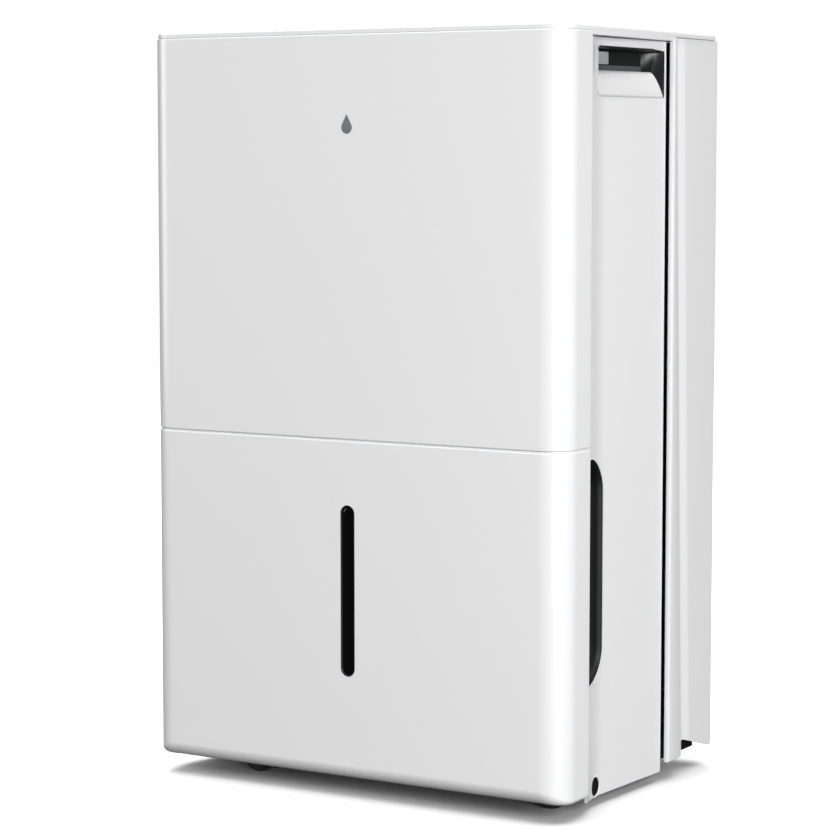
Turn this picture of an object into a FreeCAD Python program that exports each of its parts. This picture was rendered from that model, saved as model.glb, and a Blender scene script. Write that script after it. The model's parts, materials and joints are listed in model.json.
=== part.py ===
"""Portable compressor dehumidifier, as an assembly of separate pieces.

Frame: millimetres, +Z up, front faces -Y, origin on the floor under the middle of the cabinet.
Every function below builds one piece and PARTS gives each its file name.
"""

import FreeCAD, Part

import math
import os
from FreeCAD import Vector as V

# ---------------------------------------------------------------- overall sizes
WIDTH = 392.0
DEPTH = 282.0
HEIGHT = 620.0
SKIN = 3.0  # moulded wall
THIN = 2.0  # moulded wall of liners and pockets
SEAM = 0.5  # gap between two fixed mouldings
SLIP = 0.4  # gap between a moving piece and what it passes
RUNNING = 0.05  # radial clearance of a shaft in its hole

HALF_W = WIDTH / 2
FRONT = -DEPTH / 2
BACK = DEPTH / 2

# ---------------------------------------------------------------- outer casing
PANEL_WRAP = 46.0  # how far the front slab wraps back along the sides
PANEL_CORNER = 22.0
PANEL_BOTTOM = 15.5
PANEL_FOOT_R = 12.0  # rolled lower edge of the bucket front
SPLIT_Z = 293.0
SPLIT_GAP = 1.2
RIM = 4.4  # height of the top cover above the front and rear slabs
PANEL_TOP = HEIGHT - RIM
BAND = 7.6  # height of the top cover's edge over the waist
EDGE_R = 0.8
BADGE_Z = HEIGHT - 78.0
BADGE_R = 5.0
BADGE_DEEP = 0.9

REAR_WRAP = 92.5  # how far the rear cover wraps forward along the sides
REAR_BOTTOM = 16.0
REAR_SINK = 2.0  # the intake grille stands this far proud of the rear cover
REAR_CORNER = 14.0
REAR_BACK_Y = BACK - REAR_SINK
REAR_FRONT_Y = BACK - REAR_WRAP
# z, crest and valley behind the front edge of the swept side ridge
RIDGE = ((REAR_BOTTOM, 28.0, 46.0), (PANEL_TOP, 8.0, 24.0))
RIDGE_RISE = 2.0

SIDE_BOTTOM = 8.5
SIDE_RECESS = 10.0  # from the slabs' side to the inner face of the side panels
SIDE_INNER_X = HALF_W - SIDE_RECESS
SIDE_OUTER_FRONT_X = SIDE_INNER_X + 1.5
SIDE_OUTER_REAR_X = SIDE_INNER_X + 4.5
SIDE_TUCK = 17.0  # how far the side panels reach in behind the front slab
SHADOW_GAP = 4.0  # between the side panels and the rear cover
SIDE_FRONT_Y = FRONT + PANEL_WRAP - SIDE_TUCK
SIDE_REAR_Y = REAR_FRONT_Y - SHADOW_GAP

# ---------------------------------------------------------------- carrying handles
HANDLE_Y = (FRONT + PANEL_WRAP + 27.0, SIDE_REAR_Y - 3.5)
HANDLE_Z = (HEIGHT - 52.0, HEIGHT - 16.0)
HANDLE_DEPTH = 32.0
HANDLE_INNER_Y = (HANDLE_Y[0] + 2.0, HANDLE_Y[1] - 35.0)
HANDLE_INNER_Z = (HANDLE_Z[0] + 17.0, HANDLE_Z[1] - 1.5)
LIP_RISE = 14.0
LIP_DEPTH = 13.0

# ---------------------------------------------------------------- bucket grip recesses
GRIP_LONG = 42.0  # how far each recess runs back behind the slab's edge
GRIP_REAR_Y = FRONT + PANEL_WRAP + GRIP_LONG
GRIP_Z = (102.0, 282.0)
GRIP_R = 27.0
GRIP_DEPTH = 13.0

# ---------------------------------------------------------------- side screw wells
PLUG_Y = FRONT + PANEL_WRAP + 29.0
PLUG_Z = 17.5
PLUG_R = 7.5
PLUG_SINK = 1.2

# ---------------------------------------------------------------- casters and base
WHEEL_R = 21.0
WHEEL_W = 10.0
WHEEL_GAP = 8.0  # between the two wheels of a caster
CASTER_TRAIL = 19.0
CASTER_REACH = math.hypot(CASTER_TRAIL + WHEEL_R, WHEEL_GAP / 2 + WHEEL_W)
HOOD_Z = 2 * WHEEL_R + 2.5
HOOD_T = 4.6
BOSS_BOTTOM = HOOD_Z + HOOD_T + SLIP
STEM_R = 5.0
AXLE_R = 2.5
# direction each caster trails in, in degrees about +Z from +X
CASTER_TURN = {
    "front_right": 15.0,
    "front_left": 346.0,
    "rear_right": 95.0,
    "rear_left": 60.0,
}
BASE_BOTTOM = 15.0
DECK_Z = BOSS_BOTTOM + 8.5
STEM_TOP = DECK_Z - 1.0
BASE_HALF_W = SIDE_INNER_X - 4.0
BASE_Y = (FRONT + 14.0, REAR_BACK_Y - SKIN - 6.0)
CASTER_X = BASE_HALF_W - SKIN - CASTER_REACH - 1.8
CASTER_FRONT_Y = BASE_Y[0] + SKIN + CASTER_REACH + 1.8
CASTER_REAR_Y = BASE_Y[1] - SKIN - CASTER_REACH - 1.8

# ---------------------------------------------------------------- bucket and its bay
BAY_FRONT_Y = FRONT + PANEL_WRAP + 1.0
BAY_DEEP = 102.0
BAY_BACK_Y = BAY_FRONT_Y + BAY_DEEP
BAY_TOP = SPLIT_Z + 9.0
BAY_HALF_W = SIDE_INNER_X - GRIP_DEPTH - THIN - 1.0 - THIN
BAY_PLAY = 4.0  # between the tank and the walls of its bay
TANK_HALF_W = BAY_HALF_W - BAY_PLAY
TANK_Y = (FRONT + SKIN + 2.0, BAY_BACK_Y - BAY_PLAY - 1.0)
TANK_Z = (DECK_Z + 3.0, SPLIT_Z - 53.0)
TANK_WALL = 2.4
TANK_R = 14.0
LID_T = 3.0
LID_GAP = 0.3
WINDOW_W = 12.0
WINDOW_Z = (101.5, 240.0)
LUG_X = 66.0
BAIL_PIVOT = ((TANK_Y[0] + TANK_Y[1]) / 2 + 2.5, TANK_Z[1] + 12.0)  # y, z
BAIL_ARM = 32.0
BAIL_ROD_R = 3.5
BAIL_PIN_R = 3.0
FLOAT_AT = (-TANK_HALF_W + 44.0, BAY_BACK_Y - 38.0)  # x, y
FLOAT_SIZE = (46.0, 40.0, 24.0)
FLOAT_REST_Z = TANK_Z[1] - 56.0
FLOAT_STEM_R = 4.0
STEM_PROUD = 16.0
LEVER_Z = TANK_Z[1] + 33.0
LEVER_PIN_R = 1.5
DRIP_AT = (TANK_HALF_W - 40.0, BAY_BACK_Y - 32.0)  # x, y
DRIP_R = 7.0
TROUGH_HALF_W = 12.0
TROUGH_TALL = 10.0

# ---------------------------------------------------------------- air path and refrigeration
EVAPORATOR_Y = (REAR_BACK_Y - 45.0, REAR_BACK_Y - 21.0)
CONDENSER_Y = (EVAPORATOR_Y[0] - 28.0, EVAPORATOR_Y[0] - 6.0)
DUCT_DEEP = 60.0
DUCT_Y = (CONDENSER_Y[0] - 8.0 - DUCT_DEEP, CONDENSER_Y[0] - 8.0)
DUCT_HALF_W = 112.0
INLET_R = 76.0
FAN_CENTRE_Z = HEIGHT - 180.0
FAN_R = 92.0
FAN_Y = (DUCT_Y[0] + 8.0, DUCT_Y[1] - 8.0)
FAN_BLADES = 32
HUB_LONG = 24.0
MOTOR_R = 42.0
MOTOR_LEN = 56.0
SHAFT_R = 4.0
PAN_Z = (BAY_TOP + THIN + SEAM, BAY_TOP + THIN + SEAM + 15.5)
COIL_HALF_W = HALF_W - 66.0
COIL_Z = (PAN_Z[1] + 6.0, HEIGHT - 36.0)
COIL_LOOP = 64.5  # height taken by each pair of passes
COIL_PASSES = 2 * round((COIL_Z[1] - COIL_Z[0]) / COIL_LOOP)
TUBE_R = 4.0
TUBE_PROUD = 8.0  # straight tube beyond the outer fins
JOINT_GAP = 0.3  # between two pipes that are brazed together on the real thing
FIN_PITCH = 6.0
FIN_T = 0.8
PIPE_OUT = 34.0  # how far outside the fins the long pipes run
FOOT_CIRCLE = 54.5
FOOT_TALL = 14.0
COMPRESSOR_AT = (-66.0, CONDENSER_Y[0] + 16.0)  # x, y
COMPRESSOR_R = 46.0
COMPRESSOR_Z = (DECK_Z + FOOT_TALL, PAN_Z[0] - 50.5)
RECEIVER_AT = (14.0, (EVAPORATOR_Y[0] + EVAPORATOR_Y[1]) / 2)  # x, y
RECEIVER_R = 22.0
RECEIVER_Z = (100.0, 218.0)

# ---------------------------------------------------------------- top cover
OUTLET_X = HALF_W - 48.0
OUTLET_Y = DUCT_Y
OUTLET_SLATS = 9
FASCIA_X = 98.0
FASCIA_Y = (FRONT + 19.0, FRONT + 79.0)
FASCIA_TOP = HEIGHT - 0.8
FASCIA_T = 1.8
FASCIA_R = 9.0
LEDGE = 3.5
BUTTON_R = 6.5
BUTTON_TRAVEL = 0.8
BUTTON_TOP = HEIGHT - 0.1
BUTTON_Y = FASCIA_Y[0] + 40.0
BUTTONS = {
    "button_power": 78.0,
    "button_fan": -78.0,
    "button_timer": 56.0,
    "button_down": -34.0,
    "button_up": 34.0,
}
DISPLAY_HALF = (21.0, 11.0)
DISPLAY_Y = FASCIA_Y[0] + 30.0
BOARD_Z = HEIGHT - 12.0
BOARD_T = 1.6

# ---------------------------------------------------------------- rear intake, drain, cord entry, screws
INTAKE_X = COIL_HALF_W + 16.0
INTAKE_Z = COIL_Z
INTAKE_R = 10.0
FILTER_SLATS = 17
FILTER_T = 10.0
MESH_T = 0.8
DRAIN_AT = (-HALF_W + 78.0, PAN_Z[0] - 38.5)  # x, z
CUP_R = 24.0
CUP_DEPTH = 30.0
ELBOW = 14.0  # how far the drain elbow reaches in behind the cup
SPIGOT_R = 8.0
SPIGOT_BORE = 5.5
CAP_R = SPIGOT_R + 5.0
CORD_AT = (HALF_W - 68.0, DECK_Z + 8.0)  # x, z
CORD_HOLE_R = 4.2
GLAND_R = CORD_HOLE_R + 3.8
REAR_SCREW_X = HALF_W - 21.0
REAR_SCREW_Z = (38.0, PAN_Z[1] + 2.0, HEIGHT - 22.0)
REAR_SCREWS = [(side * REAR_SCREW_X, z) for z in REAR_SCREW_Z for side in (-1, 1)]
SCREW_BOSS_R = 5.0
SCREW_R = 2.0
SCREW_HEAD_R = SCREW_R + 2.5
SCREW_SINK = 1.8
SCREW_LEN = 18.0


# ---------------------------------------------------------------- shape helpers
def box(x, y, z):
    """Box between two x, two y and two z values."""
    return Part.makeBox(x[1] - x[0], y[1] - y[0], z[1] - z[0], V(x[0], y[0], z[0]))


def rod(radius, start, direction, length):
    """Cylinder from start along direction."""
    return Part.makeCylinder(radius, length, V(*start), V(*direction))


def rounded(x, y, z, radius, corners="all"):
    """Box with rounded vertical edges. corners is all, front or back."""
    block = box(x, y, z)
    keep = {"all": (y[0], y[1]), "front": (y[0],), "back": (y[1],)}[corners]
    edges = [
        e
        for e in block.Edges
        if abs(e.tangentAt(e.FirstParameter).z) > 0.99
        and any(abs(e.CenterOfMass.y - edge_y) < 1e-6 for edge_y in keep)
    ]
    return block.makeFillet(radius, edges)


def rounded_upright(x, y, z, radius):
    """Box with the four edges that run along Y rounded."""
    block = box(x, y, z)
    edges = [e for e in block.Edges if abs(e.tangentAt(e.FirstParameter).y) > 0.99]
    return block.makeFillet(radius, edges)


def fillet_where(shape, radius, test):
    """Fillets the edges whose middle point passes the test."""
    return shape.makeFillet(radius, [e for e in shape.Edges if test(e.CenterOfMass, e)])


def mirrored(shape):
    """The same piece for the other side of the cabinet."""
    return shape.mirror(V(0, 0, 0), V(1, 0, 0))


def fuse(shapes):
    """One solid from several that touch or overlap."""
    return shapes[0].multiFuse(shapes[1:]).removeSplitter()


def group(shapes):
    """Separate solids kept in one node."""
    return Part.makeCompound(shapes)


def pipe(points, radius, bend):
    """Round tube solid along straight runs joined by arcs of one bend radius."""
    corners = [V(*p) for p in points]
    edges = []
    start = corners[0]
    for before, corner, after in zip(corners, corners[1:], corners[2:]):
        towards = (before - corner).normalize()
        onward = (after - corner).normalize()
        half = towards.getAngle(onward) / 2
        reach = bend / math.tan(half)
        first = corner + towards * reach
        last = corner + onward * reach
        middle_way = (towards + onward).normalize()
        middle = corner + middle_way * (bend / math.sin(half) - bend)
        edges += [Part.LineSegment(start, first).toShape(), Part.Arc(first, middle, last).toShape()]
        start = last
    edges.append(Part.LineSegment(start, corners[-1]).toShape())
    path = Part.Wire(edges)
    way = (corners[1] - corners[0]).normalize()
    section = Part.Wire([Part.Circle(corners[0], way, radius).toShape()])
    return path.makePipeShell([section], True, False)


# ---------------------------------------------------------------- outer casing
def slab(z, corner):
    """Front slab: a tray with rounded upright corners, open to the back."""
    outer = rounded((-HALF_W, HALF_W), (FRONT, FRONT + PANEL_WRAP), z, corner, "front")
    inner_x = HALF_W - SKIN
    inner = rounded(
        (-inner_x, inner_x),
        (FRONT + SKIN, FRONT + PANEL_WRAP + 1),
        (z[0] - 1, z[1] + 1),
        corner - SKIN,
        "front",
    )
    return outer, inner


def upper_front_panel():
    """Plain upper front, wrapped round both corners, with a stiffening shelf above the split."""
    bottom = SPLIT_Z
    outer, inner = slab((bottom, PANEL_TOP), PANEL_CORNER)
    shell = outer.cut(inner)
    shell = fillet_where(
        shell, EDGE_R, lambda c, e: c.z < bottom + 1e-3 and c.y < FRONT + 1 and e.Length > 100
    )
    shelf_x = SIDE_INNER_X - SEAM
    shelf = rounded(
        (-shelf_x, shelf_x), (FRONT + 1, BAY_FRONT_Y - SEAM), (BAY_TOP, BAY_TOP + THIN), 12.0, "front"
    )
    return fuse([shell, shelf]).cut(raindrop(0.15, FRONT - 1, FRONT + BADGE_DEEP))


def bucket_front():
    """Lower front, the face of the bucket, with a rolled lower edge and the window slot."""
    top = SPLIT_Z - SPLIT_GAP
    outer, inner = slab((PANEL_BOTTOM, top), PANEL_CORNER)
    outer = fillet_where(
        outer,
        PANEL_FOOT_R,
        lambda c, e: c.z < PANEL_BOTTOM + 1e-3 and c.y < FRONT + PANEL_WRAP - 1,
    )
    inner_x = HALF_W - SKIN
    cavity = rounded(
        (-inner_x, inner_x),
        (FRONT + SKIN, FRONT + PANEL_WRAP + 1),
        (PANEL_BOTTOM + SKIN, top - SKIN),
        PANEL_CORNER - SKIN,
        "front",
    )
    cavity = fillet_where(
        cavity,
        PANEL_FOOT_R - SKIN,
        lambda c, e: c.z < PANEL_BOTTOM + SKIN + 1e-3 and c.y < FRONT + PANEL_WRAP,
    )
    lip_depth = PANEL_FOOT_R + 1.0
    under = box(
        (-HALF_W + PANEL_FOOT_R, HALF_W - PANEL_FOOT_R),
        (FRONT + lip_depth, FRONT + PANEL_WRAP + 1),
        (PANEL_BOTTOM - 1, PANEL_BOTTOM + SKIN + 1),
    )
    over = box(
        (-inner_x, inner_x),
        (FRONT + PANEL_CORNER, FRONT + PANEL_WRAP + 1),
        (top - SKIN - 1, top + 1),
    )
    shell = outer.cut(cavity).cut(under).cut(over)
    slot = window_outline(0.0, FRONT - 1, FRONT + SKIN + 1)
    return shell.cut(slot)


def window_outline(grow, y0, y1):
    """Upright slot with round ends, grown all round by grow."""
    half = WINDOW_W / 2 + grow
    z = (WINDOW_Z[0] - grow, WINDOW_Z[1] + grow)
    return rounded_upright((-half, half), (y0, y1), z, half - 0.01)


def water_window():
    """Tinted level window: a trough behind the slot that shows the tank."""
    rim = window_outline(4.0, FRONT + SKIN, FRONT + SKIN + 1.0)
    lens = window_outline(-0.3, FRONT + 1.4, FRONT + SKIN + 1.0)
    return fuse([rim, lens])


def side_profile(inset=0.0):
    """Outline of a right side panel seen from above: flat inside, gently bowed outside."""
    front, rear = SIDE_FRONT_Y, SIDE_REAR_Y
    middle_y = (front + rear) / 2
    middle_x = (SIDE_OUTER_FRONT_X + SIDE_OUTER_REAR_X) / 2 + 0.8
    a = V(SIDE_INNER_X - inset, front, 0)
    b = V(SIDE_OUTER_FRONT_X, front, 0)
    c = V(SIDE_OUTER_REAR_X, rear, 0)
    d = V(SIDE_INNER_X - inset, rear, 0)
    bow = Part.Arc(b, V(middle_x, middle_y, 0), c).toShape()
    lines = [Part.makeLine(a, b), bow, Part.makeLine(c, d), Part.makeLine(d, a)]
    return Part.Face(Part.Wire(lines))


def grip_outline(grow, x):
    """Finger recess outline: open at the front, large round corners at the rear."""
    y = (SIDE_FRONT_Y + SKIN - grow, GRIP_REAR_Y + grow)
    z = (GRIP_Z[0] - grow, GRIP_Z[1] + grow)
    block = box(x, y, z)
    edges = [
        e
        for e in block.Edges
        if abs(e.tangentAt(e.FirstParameter).x) > 0.99 and abs(e.CenterOfMass.y - y[1]) < 1e-6
    ]
    return block.makeFillet(GRIP_R + grow, edges)


def handle_cavity(grow):
    """Tapering pocket of a right carrying handle: sloped floor and sloped rear end."""
    def mouth(x, y, z):
        corners = [V(x, y[0], z[0]), V(x, y[1], z[0]), V(x, y[1], z[1]), V(x, y[0], z[1])]
        return Part.makePolygon(corners + corners[:1])

    face_x = SIDE_INNER_X - SEAM
    deep_x = SIDE_INNER_X - HANDLE_DEPTH - grow
    outer = mouth(
        face_x + (0 if grow else 0.5),
        (HANDLE_Y[0] - grow, HANDLE_Y[1] + grow),
        (HANDLE_Z[0] - grow, HANDLE_Z[1] + grow),
    )
    inner = mouth(
        deep_x,
        (HANDLE_INNER_Y[0] - grow, HANDLE_INNER_Y[1] + grow),
        (HANDLE_INNER_Z[0] - grow, HANDLE_INNER_Z[1] + grow),
    )
    return Part.makeLoft([inner, outer], True, True)


def handle_lip():
    """Rolled lower lip of the handle opening, curving in and up from the side face."""
    face_x = SIDE_OUTER_REAR_X - 1.2
    z0 = HANDLE_Z[0] - 6.0
    z1 = HANDLE_Z[0] + LIP_RISE
    start = V(face_x, HANDLE_Y[0], z0)
    bend = V(face_x - 2.2, HANDLE_Y[0], HANDLE_Z[0] + LIP_RISE * 0.55)
    crest = V(face_x - LIP_DEPTH, HANDLE_Y[0], z1)
    foot = V(face_x - LIP_DEPTH, HANDLE_Y[0], z1 - SKIN)
    under = V(face_x - 2.2 - SKIN, HANDLE_Y[0], HANDLE_Z[0] + LIP_RISE * 0.55 - SKIN)
    base = V(face_x - SKIN, HANDLE_Y[0], z0)
    wire = Part.Wire(
        [
            Part.Arc(start, bend, crest).toShape(),
            Part.makeLine(crest, foot),
            Part.Arc(foot, under, base).toShape(),
            Part.makeLine(base, start),
        ]
    )
    length = HANDLE_Y[1] - HANDLE_Y[0]
    lip = Part.Face(wire).extrude(V(0, length, 0))
    slope = (HANDLE_Y[1] - HANDLE_INNER_Y[1]) / HANDLE_DEPTH
    far = SIDE_INNER_X - HANDLE_DEPTH
    hip = Part.makePolygon(
        [
            V(SIDE_OUTER_REAR_X, HANDLE_Y[1] + 0.1, z0 - 1),
            V(far, HANDLE_Y[1] - slope * (SIDE_OUTER_REAR_X - far), z0 - 1),
            V(far, HANDLE_Y[1] + 1, z0 - 1),
            V(SIDE_OUTER_REAR_X, HANDLE_Y[1] + 1, z0 - 1),
            V(SIDE_OUTER_REAR_X, HANDLE_Y[1] + 0.1, z0 - 1),
        ]
    )
    return lip.cut(Part.Face(hip).extrude(V(0, 0, z1 - z0 + 2)))


def right_side_panel():
    """Recessed waist panel with the handle opening, grip recess and screw well."""
    top = HEIGHT - BAND - SEAM
    plate = side_profile().extrude(V(0, 0, top - SIDE_BOTTOM))
    plate.translate(V(0, 0, SIDE_BOTTOM))
    mouth = box((SIDE_INNER_X - 5, SIDE_OUTER_REAR_X + 5), HANDLE_Y, HANDLE_Z)
    foot = box(
        (SIDE_INNER_X - 5, SIDE_OUTER_REAR_X + 5),
        (SIDE_FRONT_Y - 1, FRONT + PANEL_WRAP + 1.0),
        (0, PANEL_BOTTOM + PANEL_FOOT_R + 4.0),
    )
    plate = plate.cut(mouth).cut(foot)
    plate = plate.cut(grip_outline(0.0, (SIDE_INNER_X - 5, SIDE_OUTER_REAR_X + 5)))
    plate = plate.cut(rod(PLUG_R, (SIDE_INNER_X - 5, PLUG_Y, PLUG_Z), (1, 0, 0), 20))
    return fuse([plate, handle_lip()])


def right_handle_scoop():
    """Pocket behind the handle opening, tapering up and in, open towards the side."""
    liner = handle_cavity(THIN).cut(handle_cavity(0.0))
    lip_x = SIDE_OUTER_REAR_X - 1.2 - LIP_DEPTH - SEAM
    lip_zone = box(
        (lip_x, SIDE_INNER_X + 20),
        (HANDLE_Y[0] - 20, HANDLE_Y[1] + 20),
        (HANDLE_Z[0] - 20, HANDLE_Z[0] + LIP_RISE + SEAM),
    )
    return liner.cut(lip_zone)


def right_grip_liner():
    """Dark pocket behind the side panel that gives fingers room behind the bucket front."""
    face = SIDE_INNER_X - SEAM
    deep = SIDE_INNER_X - GRIP_DEPTH
    outer = grip_outline(THIN, (deep - THIN, face))
    inner = grip_outline(0.0, (deep, face + 1))
    return outer.cut(inner)


def side_screw_plugs():
    """A round plug in each side panel, over the screw that holds it to the base."""
    start = BASE_HALF_W + 0.6
    length = SIDE_OUTER_FRONT_X + 1.2 - start - PLUG_SINK
    right = rod(PLUG_R - RUNNING, (start, PLUG_Y, PLUG_Z), (1, 0, 0), length)
    return group([right, mirrored(right)])


def gap_strips():
    """Black strip behind each upright gap between the side panel and the rear cover."""
    x = (SIDE_INNER_X - 8.5, SIDE_INNER_X - SEAM)
    strip = box(x, (SIDE_REAR_Y - 1, DUCT_Y[1] - SEAM), (DECK_Z + 4, HEIGHT - BAND - 2))
    return group([strip, mirrored(strip)])


def rear_cover():
    """Back of the cabinet, with the intake opening, swept side ridges, drain and cord holes."""
    flat_x = HALF_W - RIDGE_RISE
    top = PANEL_TOP
    outer = rounded((-flat_x, flat_x), (REAR_FRONT_Y, REAR_BACK_Y), (REAR_BOTTOM, top), REAR_CORNER, "back")
    outer = fuse([outer, rear_ridge(flat_x), mirrored(rear_ridge(flat_x))])
    inner = rounded(
        (-flat_x + SKIN, flat_x - SKIN),
        (REAR_FRONT_Y - 1, REAR_BACK_Y - SKIN),
        (REAR_BOTTOM - 1, top + 1),
        REAR_CORNER - SKIN,
        "back",
    )
    shell = outer.cut(inner)
    shell = shell.cut(intake_outline(0.0, REAR_BACK_Y - SKIN - 1, REAR_BACK_Y + 1))
    x, z = DRAIN_AT
    shell = shell.cut(rod(CUP_R + SEAM, (x, REAR_BACK_Y - SKIN - 1, z), (0, 1, 0), SKIN + 2))
    x, z = CORD_AT
    shell = shell.cut(rod(GLAND_R + RUNNING, (x, REAR_BACK_Y - SKIN - 1, z), (0, 1, 0), SKIN + 2))
    for x, z in REAR_SCREWS:
        shell = shell.cut(rod(SCREW_R + 0.25, (x, REAR_BACK_Y - SKIN - 1, z), (0, 1, 0), SKIN + 2))
        shell = shell.cut(rod(SCREW_HEAD_R + 0.3, (x, REAR_BACK_Y - SCREW_SINK, z), (0, 1, 0), SKIN))
    return shell


def rear_ridge(flat_x):
    """Raised ridge down the front edge of the rear cover, narrow at the top, wide at the foot."""
    sections = []
    for z, crest, valley in RIDGE:
        points = [
            V(flat_x - SKIN, REAR_FRONT_Y, z),
            V(flat_x - 1.0, REAR_FRONT_Y, z),
            V(HALF_W, REAR_FRONT_Y + crest, z),
            V(flat_x, REAR_FRONT_Y + valley, z),
            V(flat_x - SKIN, REAR_FRONT_Y + valley, z),
        ]
        sections.append(Part.makePolygon(points + points[:1]))
    return Part.makeLoft(sections, True, True)


def intake_outline(shrink, y0, y1):
    """Rear intake opening, shrunk all round by shrink."""
    x = (-INTAKE_X + shrink, INTAKE_X - shrink)
    z = (INTAKE_Z[0] + shrink, INTAKE_Z[1] - shrink)
    return rounded_upright(x, (y0, y1), z, INTAKE_R - shrink)


def filter_grille():
    """Frame and level slats of the pull-off intake grille, with a finger notch at the top."""
    y = (BACK - FILTER_T, BACK)
    frame = intake_outline(SLIP, *y).cut(intake_outline(7.0, y[0] - 1, y[1] + 1))
    bars = []
    pitch = (INTAKE_Z[1] - INTAKE_Z[0] - 14.0) / (FILTER_SLATS + 1)
    for i in range(1, FILTER_SLATS + 1):
        z = INTAKE_Z[0] + 7.0 + pitch * i
        bars.append(box((-INTAKE_X + 6, INTAKE_X - 6), (y[0] + 2, y[1] - 1), (z - 1.6, z + 1.6)))
    for x in (-76.0, 0.0, 76.0):
        upright = box((x - 1.5, x + 1.5), (y[0] + 2, y[1] - 2), (INTAKE_Z[0] + 6, INTAKE_Z[1] - 6))
        bars.append(upright)
    notch = rod(11.0, (0, y[1] - 4, INTAKE_Z[1] + 2), (0, 1, 0), 6)
    return fuse([frame] + bars).cut(notch)


def filter_mesh():
    """Washable dust mesh held in the back of the grille."""
    y1 = BACK - FILTER_T - 0.2
    return intake_outline(4.0, y1 - MESH_T, y1)


def drain_cup():
    """Sunk cup with the hose spigot and the elbow that takes the pan's drain."""
    x, z = DRAIN_AT
    floor_y = REAR_BACK_Y - CUP_DEPTH
    cup = rod(CUP_R, (x, floor_y - THIN, z), (0, 1, 0), CUP_DEPTH + THIN)
    cup = cup.cut(rod(CUP_R - THIN, (x, floor_y, z), (0, 1, 0), CUP_DEPTH + 1))
    spigot = rod(SPIGOT_R, (x, floor_y - ELBOW, z), (0, 1, 0), CUP_DEPTH + ELBOW - 5)
    riser = rod(SPIGOT_R - 0.6, (x, floor_y - ELBOW + SPIGOT_R, z), (0, 0, 1), PAN_Z[0] - z - 3)
    body = fuse([cup, spigot, riser])
    body = body.cut(rod(SPIGOT_BORE - 0.7, (x, floor_y - ELBOW + 2, z), (0, 1, 0), CUP_DEPTH + 20))
    return body.cut(rod(SPIGOT_BORE, (x, floor_y - ELBOW + SPIGOT_R, z), (0, 0, 1), PAN_Z[0] - z))


def drain_cap():
    """Ribbed screw cap over the spigot."""
    x, z = DRAIN_AT
    y0 = REAR_BACK_Y - 20.0
    y1 = REAR_BACK_Y - 2.0
    cap = rod(CAP_R, (x, y0, z), (0, 1, 0), y1 - y0)
    cap = cap.cut(rod(SPIGOT_R + RUNNING, (x, y0 - 1, z), (0, 1, 0), y1 - y0 - 2 + 1))
    grooves = []
    for i in range(16):
        a = math.radians(i * 22.5)
        at = (x + (CAP_R + 0.6) * math.cos(a), y0 + 4, z + (CAP_R + 0.6) * math.sin(a))
        grooves.append(rod(1.2, at, (0, 1, 0), 20))
    return cap.cut(Part.makeCompound(grooves))


def cord_gland():
    """Strain relief bushing in the rear cover, where the mains lead enters."""
    x, z = CORD_AT
    body = rod(GLAND_R, (x, REAR_BACK_Y - SKIN - 9, z), (0, 1, 0), SKIN + 9)
    flange = rod(GLAND_R + 3, (x, REAR_BACK_Y + 0.1, z), (0, 1, 0), BACK - REAR_BACK_Y - 0.3)
    neck = rod(GLAND_R, (x, REAR_BACK_Y - 1, z), (0, 1, 0), 2.5)
    whole = fuse([body, neck, flange])
    return whole.cut(rod(CORD_HOLE_R, (x, REAR_BACK_Y - 40, z), (0, 1, 0), 60))


def rear_screws():
    """Cross-head screws that hold the rear cover to the bulkhead and the base."""
    screws = []
    for x, z in REAR_SCREWS:
        y = REAR_BACK_Y - SCREW_SINK + 0.05
        head = rod(SCREW_HEAD_R, (x, y, z), (0, 1, 0), SCREW_SINK - 0.2)
        shank = rod(SCREW_R, (x, y - SCREW_LEN, z), (0, 1, 0), SCREW_LEN + 0.5)
        slot_a = box((x - 2.6, x + 2.6), (y + 0.6, y + 3), (z - 0.45, z + 0.45))
        slot_b = box((x - 0.45, x + 0.45), (y + 0.6, y + 3), (z - 2.6, z + 2.6))
        screws.append(fuse([head, shank]).cut(slot_a).cut(slot_b))
    return group(screws)


# ---------------------------------------------------------------- top of the cabinet
def top_cover():
    """Lid plate with a rim over the slabs and deeper edges over the waist."""
    edge = 1.0
    x = (-HALF_W + edge, HALF_W - edge)
    y = (FRONT + edge, REAR_BACK_Y - edge)
    rim = rounded(x, y, (PANEL_TOP + SEAM, HEIGHT), PANEL_CORNER - edge, "front")
    rim = fillet_where(
        rim, REAR_CORNER - edge,
        lambda c, e: c.y > y[1] - 1e-3 and abs(e.tangentAt(e.FirstParameter).z) > 0.99,
    )
    rim = fillet_where(rim, 1.2, lambda c, e: c.z > HEIGHT - 1e-3)
    inner = rounded(
        (x[0] + SKIN, x[1] - SKIN), (y[0] + SKIN, y[1] - SKIN), (PANEL_TOP, HEIGHT - SKIN), 14.0
    )
    waist_y = (FRONT + PANEL_WRAP + SEAM, REAR_FRONT_Y - SEAM)
    skirt = box((x[1] - SKIN, x[1]), waist_y, (HEIGHT - BAND, PANEL_TOP + SEAM + 1))
    fx, fy = FASCIA_X + LEDGE + 2, (FASCIA_Y[0] - 5, FASCIA_Y[1] + 5)
    tray = box((-fx, fx), fy, (FASCIA_TOP - FASCIA_T - 3.0, HEIGHT - SKIN + 0.5))
    body = fuse([rim.cut(inner), skirt, mirrored(skirt), tray])
    sunk = fascia_outline(SEAM, FASCIA_TOP - FASCIA_T, HEIGHT + 1)
    window = fascia_outline(-LEDGE, HEIGHT - 20, HEIGHT + 1)
    grille = rounded(
        (-OUTLET_X - SEAM, OUTLET_X + SEAM),
        (OUTLET_Y[0] - SEAM, OUTLET_Y[1] + SEAM),
        (HEIGHT - 20, HEIGHT + 1),
        6.0 + SEAM,
    )
    return body.cut(sunk).cut(window).cut(grille)


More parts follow.
